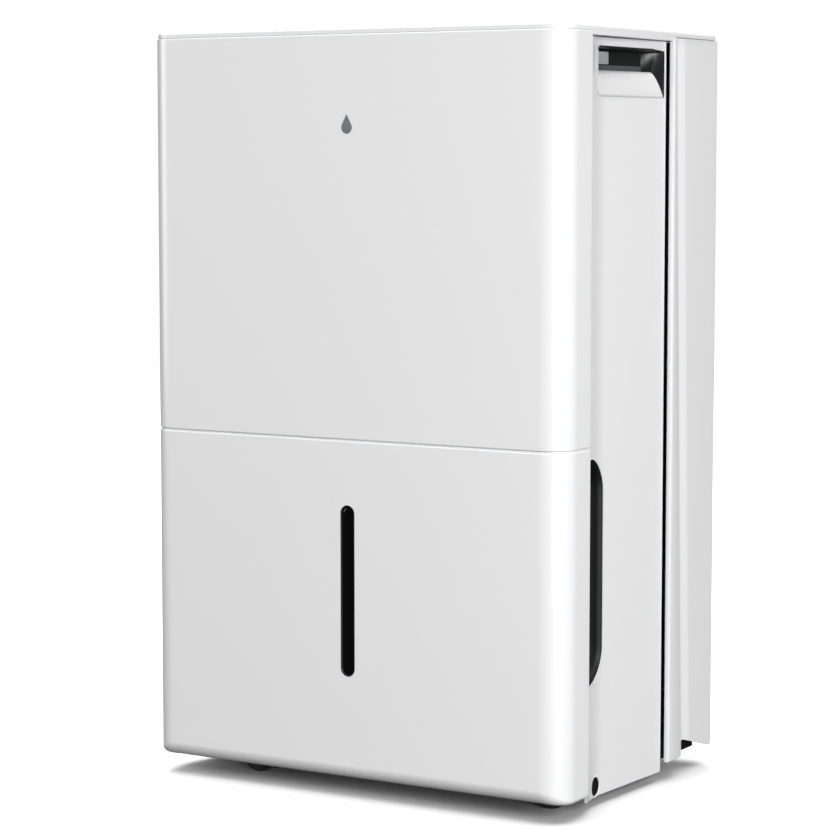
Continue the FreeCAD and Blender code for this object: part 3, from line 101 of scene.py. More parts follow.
def add_node(tree: Tree, kind: str, settings: dict[str, object] | None = None, **sockets: object) -> Node:
    """Adds one node with its settings, socket values and links.

    Args:
        tree: the material's node tree.
        kind: Blender's node class name.
        settings: attributes set on the node itself.
        sockets: input name (underscores for spaces) or in_N for an input by number, to a value
            or to the output socket that feeds it.

    Returns:
        The new node.
    """
    node = tree.nodes.new(kind)
    for name, value in (settings or {}).items():
        setattr(node, name, value)
    for name, value in sockets.items():
        by_number = name.startswith("in_")
        socket = node.inputs[int(name[3:])] if by_number else node.inputs[name.replace("_", " ")]
        if isinstance(value, bpy.types.NodeSocket):
            tree.links.new(value, socket)
        else:
            socket.default_value = value
    return node


def blank(name: str) -> tuple[bpy.types.Material, Tree, Node]:
    """Makes an empty node material with its output.

    Args:
        name: the material's name.

    Returns:
        The material, its tree and its output node.
    """
    material = bpy.data.materials.new(name)
    material.use_nodes = True
    tree = material.node_tree
    tree.nodes.clear()
    return material, tree, add_node(tree, "ShaderNodeOutputMaterial")


def spread(tree: Tree, factor: bpy.types.NodeSocket, low: float, high: float) -> bpy.types.NodeSocket:
    """Maps a 0 to 1 pattern onto a range of values.

    Args:
        tree: the material's node tree.
        factor: the pattern.
        low: value at 0.
        high: value at 1.

    Returns:
        The mapped value.
    """
    node = add_node(tree, "ShaderNodeMapRange", None, Value=factor, To_Min=low, To_Max=high)
    return node.outputs["Result"]


# ---------------------------------------------------------------- finishes
@dataclass(frozen=True)
class MouldedPlastic:
    """Injection-moulded ABS or polypropylene: even body colour and a spark-eroded grain from the tool.

    The grain breaks highlights up softly, and large faces drift a little in gloss where the melt cooled.
    """

    name: str
    colour: str
    shade: str
    roughness: float
    grain_mm: float = 0.9
    grain_depth_mm: float = 0.004
    drift_mm: float = 90.0
    coat: float = 0.0
    ior: float = 1.53
    translucent: float = 0.0

    def make(self) -> bpy.types.Material:
        """Builds the node material.

        Returns:
            The material.
        """
        material, tree, out = blank(self.name)
        place = add_node(tree, "ShaderNodeTexCoord").outputs["Object"]
        drift = add_node(
            tree, "ShaderNodeTexNoise", None, Vector=place, Scale=1 / (self.drift_mm * MM), Detail=3.0
        )
        tint = add_node(
            tree, "ShaderNodeMix", {"data_type": "RGBA"},
            Factor=spread(tree, drift.outputs["Fac"], 0.0, 1.0),
            in_6=linear(self.colour), in_7=linear(self.shade),
        )
        grain = add_node(
            tree, "ShaderNodeTexNoise", None, Vector=place, Scale=1 / (self.grain_mm * MM), Detail=2.0
        )
        bump = add_node(
            tree, "ShaderNodeBump", None, Strength=1.0, Distance=self.grain_depth_mm * MM,
            Height=grain.outputs["Fac"],
        )
        rough = spread(tree, drift.outputs["Fac"], self.roughness - 0.04, self.roughness + 0.05)
        shader = add_node(
            tree, "ShaderNodeBsdfPrincipled", None, Base_Color=tint.outputs[2], Roughness=rough,
            IOR=self.ior, Coat_Weight=self.coat, Coat_Roughness=0.12, Normal=bump.outputs["Normal"],
            Subsurface_Weight=self.translucent, Subsurface_Radius=(0.004, 0.004, 0.004),
        )
        tree.links.new(shader.outputs[0], out.inputs["Surface"])
        return material


@dataclass(frozen=True)
class SmokedWindow:
    """Smoke-tinted clear styrene, moulded against a polished face: dark, glassy, faintly see-through."""

    name: str
    colour: str
    roughness: float = 0.06
    see_through: float = 0.25
    ior: float = 1.36

    def make(self) -> bpy.types.Material:
        """Builds the node material.

        Returns:
            The material.
        """
        material, tree, out = blank(self.name)
        place = add_node(tree, "ShaderNodeTexCoord").outputs["Object"]
        haze = add_node(tree, "ShaderNodeTexNoise", None, Vector=place, Scale=1 / (12 * MM), Detail=4.0)
        rough = spread(tree, haze.outputs["Fac"], self.roughness, self.roughness + 0.08)
        shader = add_node(
            tree, "ShaderNodeBsdfPrincipled", None, Base_Color=linear(self.colour), Roughness=rough,
            IOR=self.ior, Transmission_Weight=self.see_through,
        )
        tree.links.new(shader.outputs[0], out.inputs["Surface"])
        return material


@dataclass(frozen=True)
class Metal:
    """Drawn, rolled or plated metal: tight streaks along one axis and a cloudy plating tone."""

    name: str
    colour: str
    shade: str
    roughness: float
    streak_mm: tuple[float, float, float] = (0.4, 0.4, 30.0)

    def make(self) -> bpy.types.Material:
        """Builds the node material.

        Returns:
            The material.
        """
        material, tree, out = blank(self.name)
        place = add_node(tree, "ShaderNodeTexCoord").outputs["Object"]
        along = add_node(
            tree, "ShaderNodeMapping", None, Vector=place, Scale=tuple(1 / (s * MM) for s in self.streak_mm)
        )
        streak = add_node(tree, "ShaderNodeTexNoise", None, Vector=along.outputs[0], Scale=1.0, Detail=3.0)
        cloud = add_node(tree, "ShaderNodeTexNoise", None, Vector=place, Scale=1 / (25 * MM), Detail=3.0)
        tint = add_node(
            tree, "ShaderNodeMix", {"data_type": "RGBA"}, Factor=cloud.outputs["Fac"],
            in_6=linear(self.colour), in_7=linear(self.shade),
        )
        rough = spread(tree, streak.outputs["Fac"], self.roughness - 0.08, self.roughness + 0.1)
        bump = add_node(
            tree, "ShaderNodeBump", None, Strength=0.4, Distance=0.01 * MM, Height=streak.outputs["Fac"]
        )
        shader = add_node(
            tree, "ShaderNodeBsdfPrincipled", None, Base_Color=tint.outputs[2], Metallic=1.0,
            Roughness=rough, Normal=bump.outputs["Normal"],
        )
        tree.links.new(shader.outputs[0], out.inputs["Surface"])
        return material


@dataclass(frozen=True)
class Tread:
    """Moulded polyurethane or rubber: deep black, dusty in patches, fine pores."""

    name: str
    colour: str
    dust: str
    roughness: float = 0.6

    def make(self) -> bpy.types.Material:
        """Builds the node material.

        Returns:
            The material.
        """
        material, tree, out = blank(self.name)
        place = add_node(tree, "ShaderNodeTexCoord").outputs["Object"]
        scuff = add_node(tree, "ShaderNodeTexNoise", None, Vector=place, Scale=1 / (7 * MM), Detail=6.0)
        pores = add_node(tree, "ShaderNodeTexNoise", None, Vector=place, Scale=1 / (0.7 * MM), Detail=2.0)
        tint = add_node(
            tree, "ShaderNodeMix", {"data_type": "RGBA"},
            Factor=spread(tree, scuff.outputs["Fac"], -0.5, 0.9),
            in_6=linear(self.colour), in_7=linear(self.dust),
        )
        bump = add_node(
            tree, "ShaderNodeBump", None, Strength=0.8, Distance=0.03 * MM, Height=pores.outputs["Fac"]
        )
        rough = spread(tree, scuff.outputs["Fac"], self.roughness - 0.1, self.roughness + 0.15)
        shader = add_node(
            tree, "ShaderNodeBsdfPrincipled", None, Base_Color=tint.outputs[2], Roughness=rough,
            IOR=1.52, Normal=bump.outputs["Normal"],
        )
        tree.links.new(shader.outputs[0], out.inputs["Surface"])
        return material


@dataclass(frozen=True)
class WovenMesh:
    """Woven nylon dust mesh: round threads in a square net, open between them."""

    name: str
    colour: str
    pitch_mm: float = 1.6  # the real net is 0.8 mm; drawn coarser so that it shows

    def make(self) -> bpy.types.Material:
        """Builds the node material.

        Returns:
            The material.
        """
        material, tree, out = blank(self.name)
        place = add_node(tree, "ShaderNodeTexCoord").outputs["Object"]
        wave = 1 / (self.pitch_mm * MM) / 20 * 2 * math.pi
        weft = add_node(
            tree, "ShaderNodeTexWave", {"bands_direction": "X"}, Vector=place, Scale=wave, Distortion=0.3
        )
        warp = add_node(
            tree, "ShaderNodeTexWave", {"bands_direction": "Z"}, Vector=place, Scale=wave, Distortion=0.3
        )
        top = add_node(
            tree, "ShaderNodeMath", {"operation": "MAXIMUM"},
            in_0=weft.outputs["Fac"], in_1=warp.outputs["Fac"],
        )
        thread = add_node(
            tree, "ShaderNodeMapRange", None, Value=top.outputs[0], From_Min=0.55, From_Max=0.7
        )
        bump = add_node(tree, "ShaderNodeBump", None, Strength=1.0, Distance=0.3 * MM, Height=top.outputs[0])
        shader = add_node(
            tree, "ShaderNodeBsdfPrincipled", None, Base_Color=linear(self.colour), Roughness=0.7,
            Normal=bump.outputs["Normal"], Alpha=spread(tree, thread.outputs["Result"], 0.12, 1.0),
        )
        tree.links.new(shader.outputs[0], out.inputs["Surface"])
        return material


@dataclass(frozen=True)
class LitSegment:
    """Light-emitting bars of the read-out, evenly lit through a diffuser."""

    name: str
    colour: str
    strength: float

    def make(self) -> bpy.types.Material:
        """Builds the node material.

        Returns:
            The material.
        """
        material, tree, out = blank(self.name)
        place = add_node(tree, "ShaderNodeTexCoord").outputs["Object"]
        even = add_node(tree, "ShaderNodeTexNoise", None, Vector=place, Scale=1 / (3 * MM), Detail=1.0)
        tint = add_node(
            tree, "ShaderNodeMix", {"data_type": "RGBA"}, Factor=spread(tree, even.outputs["Fac"], 0.0, 0.25),
            in_6=linear(self.colour), in_7=linear("FFFFFF"),
        )
        shader = add_node(
            tree, "ShaderNodeBsdfPrincipled", None, Base_Color=tint.outputs[2], Roughness=0.4,
            Emission_Color=tint.outputs[2], Emission_Strength=self.strength,
        )
        tree.links.new(shader.outputs[0], out.inputs["Surface"])
        return material


class Finish(Enum):
    """Every finish on the object, each with the recipe that makes it."""

    # satin white shell: a fine grain keeps its highlights broad and soft
    WHITE_ABS = MouldedPlastic("white_abs", "F4F4F5", "F2F2F3", 0.33, 1.1, 0.003, 120.0, coat=0.3)
    # the same white a shade greyer and smoother, so the top reads as its own moulding
    COVER_ABS = MouldedPlastic("cover_abs", "F0F0F1", "EEEEEF", 0.30, 1.1, 0.003, 120.0, coat=0.1)
    # duller grey liner that stays behind the white shell
    LINER_GREY = MouldedPlastic("liner_grey_pp", "A9ABAD", "A2A4A6", 0.5, 1.4, 0.02)
    # near-black handle pocket with a low sheen: painted shade for the shadow inside the pocket
    SCOOP_GREY = MouldedPlastic("pocket_painted_shade", "1E1F20", "1A1B1C", 0.36, 1.2, 0.006)
    # mid-grey strip that shows as a line in the pocket: painted half-shade, the dimly lit top of the lip
    LEDGE_GREY = MouldedPlastic("lip_band_painted_half_shade", "5A5B5C", "545556", 0.42, 1.2, 0.006)
    # matt black with little reflection, as unpainted polypropylene has
    BLACK_PP = MouldedPlastic("black_pp", "08080A", "0C0C0D", 0.5, 1.2, 0.02, ior=1.36)
    # matt black grip pocket: painted shade for the shadow in the recess
    RECESS_BLACK = MouldedPlastic("grip_recess_painted_shade", "0B0C0D", "0F1011", 0.5, 1.4, 0.015, ior=1.36)
    # polished black strip with sharp reflections
    FASCIA_BLACK = MouldedPlastic("fascia_black_abs", "0B0B0C", "0E0E0F", 0.14, 2.0, 0.001, coat=0.5)
    # slightly warm white keys with a light sheen
    BUTTON_WHITE = MouldedPlastic("button_abs", "ECECEB", "E6E6E5", 0.3, 0.8, 0.003)
    # milky natural polypropylene that lets a little light in
    TANK_PP = MouldedPlastic("tank_natural_pp", "C9CED2", "BFC5CA", 0.38, 1.6, 0.012, 60.0, translucent=0.15)
    # off-white foam, matt, with soft pores
    FLOAT_FOAM = MouldedPlastic("float_closed_cell_foam", "F1F0EA", "E4E3DC", 0.8, 1.8, 0.12, 20.0)
    # smooth mid-grey inlay
    BADGE_GREY = MouldedPlastic("badge_grey_inlay", "76787A", "7E8082", 0.25, 0.8, 0.001)
    # black lining with a soft glint on its rim
    BEZEL = MouldedPlastic("bezel_black_abs", "060607", "0A0A0B", 0.4, 1.0, 0.001, ior=1.38)
    # pale matt floor without a highlight
    FLOOR = MouldedPlastic("pale_studio_floor", "FFFFFF", "FCFCFC", 0.9, 4.0, 0.01, 400.0)
    # green laminate under a clear lacquer
    BOARD_GREEN = MouldedPlastic("circuit_laminate", "0F4A24", "0C3F1E", 0.35, 1.5, 0.01, 12.0, coat=0.3)
    # nearly black glassy window
    WINDOW = SmokedWindow("smoked_window", "030304", 0.08, 0.02)
    # clearer and glossier dark lens over the read-out
    DISPLAY = SmokedWindow("display_lens", "050506", 0.03, 0.1)
    # bright zinc plating with a cloudy tone
    ZINC = Metal("zinc_plated_steel", "B9BBBD", "9DA0A3", 0.3)
    # stoved enamel with an orange-peel sheen
    CAN_BLACK = MouldedPlastic("stoved_black_enamel", "0D0D0E", "131314", 0.3, 1.6, 0.01, 40.0)
    # drawn tube: warm metal with fine upright streaks
    COPPER = Metal("drawn_copper", "C07A50", "9A5636", 0.28, (0.5, 0.5, 12.0))
    # rolled aluminium with a soft uneven gleam
    FINS = Metal("rolled_aluminium_fin", "C9CCCF", "B4B8BC", 0.38, (4.0, 0.5, 8.0))
    # bright ground shaft with fine streaks
    SHAFT_STEEL = Metal("stainless_shaft", "C4C6C8", "AEB1B4", 0.22)
    # dusty black rubber
    RUBBER = Tread("moulded_rubber", "0E0E0F", "1E1E1F", 0.62)
    # black tyre with patches of dust
    TYRE = Tread("caster_polyurethane", "0C0C0D", "3A3936", 0.5)
    # grey net that lets the coil show between its threads
    DUST_NET = WovenMesh("nylon_dust_net", "4A4D50")
    # pale blue bars that glow
    SEGMENT = LitSegment("readout_segments", "BFE8FF", 1.6)
    # pale printed ink that doesn't glow
    ICON = LitSegment("printed_icons", "C9CBCC", 0.0)

    def material(self) -> bpy.types.Material:
        """Returns the finish's material, made once."""
        return bpy.data.materials.get(self.value.name) or self.value.make()


# ---------------------------------------------------------------- meshes
class Mesh:
    """Vertices and faces in millimetres, gathered before one object is made."""

    def __init__(self) -> None:
        """Starts empty."""
        self.points: list[Point] = []
        self.faces: list[tuple[int, ...]] = []

    def add(self, points: Iterable[Sequence[float]], faces: Iterable[Sequence[int]]) -> "Mesh":
        """Appends one part.

        Args:
            points: its vertices.
            faces: its faces, numbered from its own first vertex.

        Returns:
            The mesh itself.
        """
        start = len(self.points)
        self.points += [(p[0], p[1], p[2]) for p in points]
        self.faces += [tuple(start + i for i in f) for f in faces]
        return self

    def loft(self, rings: Sequence[Sequence[Point]], caps: bool = True, wrap: bool = False) -> "Mesh":
        """Skins closed rings of equal length, one after another.

        Args:
            rings: the rings in order.
            caps: whether the first and last ring are closed with a face.
            wrap: whether the last ring joins the first.

        Returns:
            The mesh itself.
        """
        n = len(rings[0])
        points = [p for ring in rings for p in ring]
        faces: list[tuple[int, ...]] = []
        count = len(rings)
        for i in range(count if wrap else count - 1):
            a, b = i * n, ((i + 1) % count) * n
            for j in range(n):
                k = (j + 1) % n
                faces.append((a + j, a + k, b + k, b + j))
        if caps and not wrap:
            faces.append(tuple(reversed(range(n))))
            faces.append(tuple(range((count - 1) * n, count * n)))
        return self.add(points, faces)

    def revolve(self, rings: Sequence[Sequence[Point]], closed: bool = False) -> "Mesh":
        """Skins open profiles that stand round an axis, the last one joined to the first.

        Args:
            rings: the profiles in order round the axis.
            closed: whether each profile's last point joins its first.

        Returns:
            The mesh itself.
        """
        n = len(rings[0])
        runs = n if closed else n - 1
        faces: list[tuple[int, ...]] = []
        for i in range(len(rings)):
            a, b = i * n, ((i + 1) % len(rings)) * n
            faces += [(a + j, a + (j + 1) % n, b + (j + 1) % n, b + j) for j in range(runs)]
        return self.add([p for ring in rings for p in ring], faces)

    def object(self, name: str, finish: Finish) -> Thing:
        """Makes the Blender object.

        Args:
            name: the piece's name.
            finish: its finish.

        Returns:
            The object, at the origin.
        """
        data = bpy.data.meshes.new(name)
        data.from_pydata([(x * MM, y * MM, z * MM) for x, y, z in self.points], [], self.faces)
        work = bmesh.new()
        work.from_mesh(data)
        bmesh.ops.remove_doubles(work, verts=work.verts, dist=1e-7)
        bmesh.ops.recalc_face_normals(work, faces=work.faces)
        work.to_mesh(data)
        work.free()
        data.materials.append(finish.material())
        thing = bpy.data.objects.new(name, data)
        bpy.context.scene.collection.objects.link(thing)
        soften(thing)
        return thing


def soften(thing: Thing) -> None:
    """Shades a mesh smoothly, keeping its sharper edges crisp."""
    thing.data.shade_smooth()
    thing.data.set_sharp_from_angle(angle=math.radians(CREASE_DEG))


def even_normals(thing: Thing) -> None:
    """Lets large flat faces keep their own normals beside small rounded ones.

    Args:
        thing: the piece.
    """
    modifier = thing.modifiers.new("even_normals", "WEIGHTED_NORMAL")
    modifier.keep_sharp = True
    modifier.weight = 60


def round_edges(thing: Thing, width_mm: float) -> None:
    """Rounds every sharp edge, as a mould leaves them.

    Args:
        thing: the piece.
        width_mm: width of the rounding in millimetres.
    """
    modifier = thing.modifiers.new("moulded_edges", "BEVEL")
    modifier.width = width_mm * MM
    modifier.segments = 2
    modifier.limit_method = "ANGLE"
    modifier.angle_limit = math.radians(40.0)
    modifier.use_clamp_overlap = True


def carve(thing: Thing, cutters: Sequence[Mesh]) -> Thing:
    """Cuts openings through a piece and keeps the result as its mesh.

    Args:
        thing: the piece.
        cutters: closed meshes, each wholly through the wall.

    Returns:
        The piece.
    """
    tools = [m.object(f"cutter_{i}", Finish.WHITE_ABS) for i, m in enumerate(cutters)]
    for tool in tools:
        modifier = thing.modifiers.new("opening", "BOOLEAN")
        modifier.object = tool
        modifier.solver = "EXACT"
    bpy.context.view_layer.update()
    graph = bpy.context.evaluated_depsgraph_get()
    cut = bpy.data.meshes.new_from_object(thing.evaluated_get(graph))
    thing.modifiers.clear()
    thing.data = cut
    for tool in tools:
        bpy.data.objects.remove(tool)
    soften(thing)
    return thing


def arc(cx: float, cy: float, r: float, start: float, end: float, steps: int) -> list[Flat]:
    """Points on an arc.

    Args:
        cx: centre, first axis.
        cy: centre, second axis.
        r: radius.
        start: first angle in degrees.
        end: last angle in degrees.
        steps: number of runs.

    Returns:
        The steps + 1 points.
    """
    turn = [math.radians(start + (end - start) * i / steps) for i in range(steps + 1)]
    return [(cx + r * math.cos(a), cy + r * math.sin(a)) for a in turn]


def hole(centre: Flat, radius: float, sides: int = 48) -> list[Flat]:
    """Outline of a full circle.

    Args:
        centre: its middle.
        radius: its radius.
        sides: runs round it.

    Returns:
        One point for each run.
    """
    return arc(centre[0], centre[1], radius, 0, 360 - 360 / sides, sides - 1)


def rounded_rect(u: Flat, v: Flat, r: float, steps: int = 6) -> list[Flat]:
    """Outline of a rectangle with round corners, anticlockwise.

    Args:
        u: lowest and highest value on the first axis.
        v: lowest and highest value on the second axis.
        r: corner radius.
        steps: runs in each corner.

    Returns:
        The outline's points.
    """
    corners = ((u[1] - r, v[1] - r), (u[0] + r, v[1] - r), (u[0] + r, v[0] + r), (u[1] - r, v[0] + r))
    points: list[Flat] = []
    for turn, (cu, cv) in enumerate(corners):
        points += arc(cu, cv, r, 90 * turn, 90 * turn + 90, steps)
    return points


class Axis(Enum):
    """Direction a flat outline is raised in, with how its two axes map to space."""

    X = "x"
    Y = "y"
    Z = "z"

    def at(self, point: Flat, level: float) -> Point:
        """Places an outline point in space.

        Args:
            point: the point on the outline.
            level: its place along the axis.

        Returns:
            The point in space.
        """
        if self is Axis.X:
            return (level, point[0], point[1])
        if self is Axis.Y:
            return (point[0], level, point[1])
        return (point[0], point[1], level)


def prism(outline: Sequence[Flat], axis: Axis, low: float, high: float) -> Mesh:
    """A straight block with the outline as its section."""
    return Mesh().loft([[axis.at(p, low) for p in outline], [axis.at(p, high) for p in outline]])


def inset_outline(outline: Sequence[Flat], amount: float) -> list[Flat]:
    """Moves an anticlockwise outline inwards along its corners' bisectors.

    Args:
        outline: the outline.
        amount: how far its sides move.

    Returns:
        The smaller outline, point for point.
    """
    result: list[Flat] = []
    n = len(outline)
    for i in range(n):
        (ax, ay), (bx, by), (cx, cy) = outline[i - 1], outline[i], outline[(i + 1) % n]
        first = Vector((bx - ax, by - ay))
        second = Vector((cx - bx, cy - by))
        if first.length < 1e-9:
            first = second
        if second.length < 1e-9:
            second = first
        first.normalize()
        second.normalize()
        inward = Vector((-first.y - second.y, first.x + second.x))
        if inward.length < 1e-9:
            inward = Vector((-first.y, first.x))
        inward.normalize()
        lean = max(0.3, inward.dot(Vector((-first.y, first.x))))
        result.append((bx + inward.x * amount / lean, by + inward.y * amount / lean))
    return result


def soft_prism(outline: Sequence[Flat], axis: Axis, low: float, high: float, edge: float) -> Mesh:
    """A straight block whose rims are rounded.

    Args:
        outline: anticlockwise section.
        axis: direction of the block.
        low: lower end.
        high: upper end.
        edge: rim radius.

    Returns:
        The mesh.
    """
    rims: list[tuple[float, float]] = []
    for turn in (0, 30, 60, 90):
        a = math.radians(turn)
        rims.append((edge * (1 - math.sin(a)), edge * (1 - math.cos(a))))
    rings = [[axis.at(p, low + rise) for p in inset_outline(outline, inset)] for inset, rise in rims]
    for inset, rise in reversed(rims):
        rings.append([axis.at(p, high - rise) for p in inset_outline(outline, inset)])
    return Mesh().loft(rings)


def turned(profile: Sequence[Flat], centre: Point, axis: Axis, steps: int = 48) -> Mesh:
    """A turned piece.

    Args:
        profile: (radius, height) points; ends at radius 0 close it.
        centre: point on the axis at height 0.
        axis: the axis that the piece turns about.
        steps: runs round the axis.

    Returns:
        The mesh.
    """
    rings: list[list[Point]] = []
    for i in range(steps):
        a = 2 * math.pi * i / steps
        spots = [axis.at((r * math.cos(a), r * math.sin(a)), h) for r, h in profile]
        rings.append([(centre[0] + p[0], centre[1] + p[1], centre[2] + p[2]) for p in spots])
    return Mesh().revolve(rings, closed=profile[0][0] > 0 and profile[-1][0] > 0)


def ribbon(line: Sequence[Flat], thick: float, edge: float, shrink: float) -> list[Flat]:
    """Closed section of a bent wall with rounded ends.

    Args:
        line: centre line of the wall.
        thick: wall thickness.
        edge: radius on the wall's end corners.
        shrink: how much smaller the whole section is drawn.

    Returns:
        The section, once round.
    """
    half = thick / 2 - shrink
    radius = max(0.05, min(edge, half))
    path = [Vector(p) for p in line]
    last = len(path) - 1
    ways = [(path[min(i + 1, last)] - path[max(i - 1, 0)]).normalized() for i in range(len(path))]
    sides = [Vector((-w.y, w.x)) for w in ways]

    def cap(at: int, outward: float) -> list[Flat]:
        """Rounded end of the wall.

        Args:
            at: number of the end's point on the line.
            outward: 1 at the line's end, -1 at its start.

        Returns:
            The cap's points, from one face of the wall to the other.
        """
        way, side = ways[at] * outward, sides[at] * outward
        turns = [math.radians(30 * k) for k in range(4)]
        found: list[Flat] = []
        for sign, order in ((1, turns), (-1, turns[::-1])):
            for a in order:
                along = radius * math.sin(a) - shrink - radius
                across = half - radius + radius * math.cos(a)
                q = path[at] + way * along + side * sign * across
                found.append((q.x, q.y))
        return found

    left = [p + n * half for p, n in zip(path[1:-1], sides[1:-1])]
    right = [p - n * half for p, n in zip(path[1:-1], sides[1:-1])]
    faces = [[(q.x, q.y) for q in left], [(q.x, q.y) for q in reversed(right)]]
    return cap(0, -1.0) + faces[0] + cap(last, 1.0) + faces[1]


@dataclass(frozen=True)
class Stand:
    """One place along a wall seen from above: outer point, way inwards and how much it is drawn in."""

    x: float
    y: float
    in_x: float
    in_y: float
    shrink: float = 0.0


def u_path(half_w: float, face_y: float, end_y: float, corner: float, steps: int, edge: float) -> list[Stand]:
    """Path of a wall that wraps round one face of the cabinet and a little way along both sides.

    Args:
        half_w: half the cabinet's width.
        face_y: y of the flat face.
        end_y: y where the wall ends on both sides.
        corner: radius of the upright corners.
        steps: runs in each corner.
        edge: radius that rounds both ends of the wall.

    Returns:
        The stands from the left end to the right end.
    """
    away = 1.0 if end_y > face_y else -1.0
    turns = [math.radians(a) for a in (90, 60, 30, 0)]
    ends = [(edge * (1 - math.sin(a)), edge * (1 - math.cos(a))) for a in turns]
    stands = [Stand(-half_w, end_y - away * gap, 1, 0, k) for gap, k in ends]
    cy = face_y + away * corner
    stands.append(Stand(-half_w, cy, 1, 0))
    for i in range(1, steps + 1):
        a = math.pi / 2 * i / steps
        c, s = math.cos(a), math.sin(a)
        stands.append(Stand(-half_w + corner - corner * c, cy - away * corner * s, c, away * s))
    right = [Stand(-t.x, t.y, -t.in_x, t.in_y, t.shrink) for t in reversed(stands)]
    return stands + right


def sweep_wall(path: Sequence[Stand], section: Callable[[Stand], list[Flat]]) -> Mesh:
    """Carries a wall section along a path.

    Args:
        path: the stands.
        section: gives the (inset, z) section at a stand.

    Returns:
        The closed mesh.
    """
    rings: list[list[Point]] = []
    for stand in path:
        rings.append([(stand.x + stand.in_x * d, stand.y + stand.in_y * d, z) for d, z in section(stand)])
    return Mesh().loft(rings)


def limits(node: str) -> tuple[Vector, Vector]:
    """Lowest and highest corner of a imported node, in millimetres."""
    low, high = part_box(node)
    return low / MM, high / MM


def middle(node: str) -> Vector:
    """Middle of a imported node's box, in millimetres."""
    low, high = limits(node)
    return (low + high) / 2


def settle(thing: Thing, body: str, slot: str, *nodes: str) -> Thing:
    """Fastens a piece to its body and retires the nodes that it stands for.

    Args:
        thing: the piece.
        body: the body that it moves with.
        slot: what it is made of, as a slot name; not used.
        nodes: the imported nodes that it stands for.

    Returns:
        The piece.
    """
    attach(thing, body)
    if nodes:
        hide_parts(*nodes)
    LOG.info("piece %s on %s", thing.name, body)
    return thing


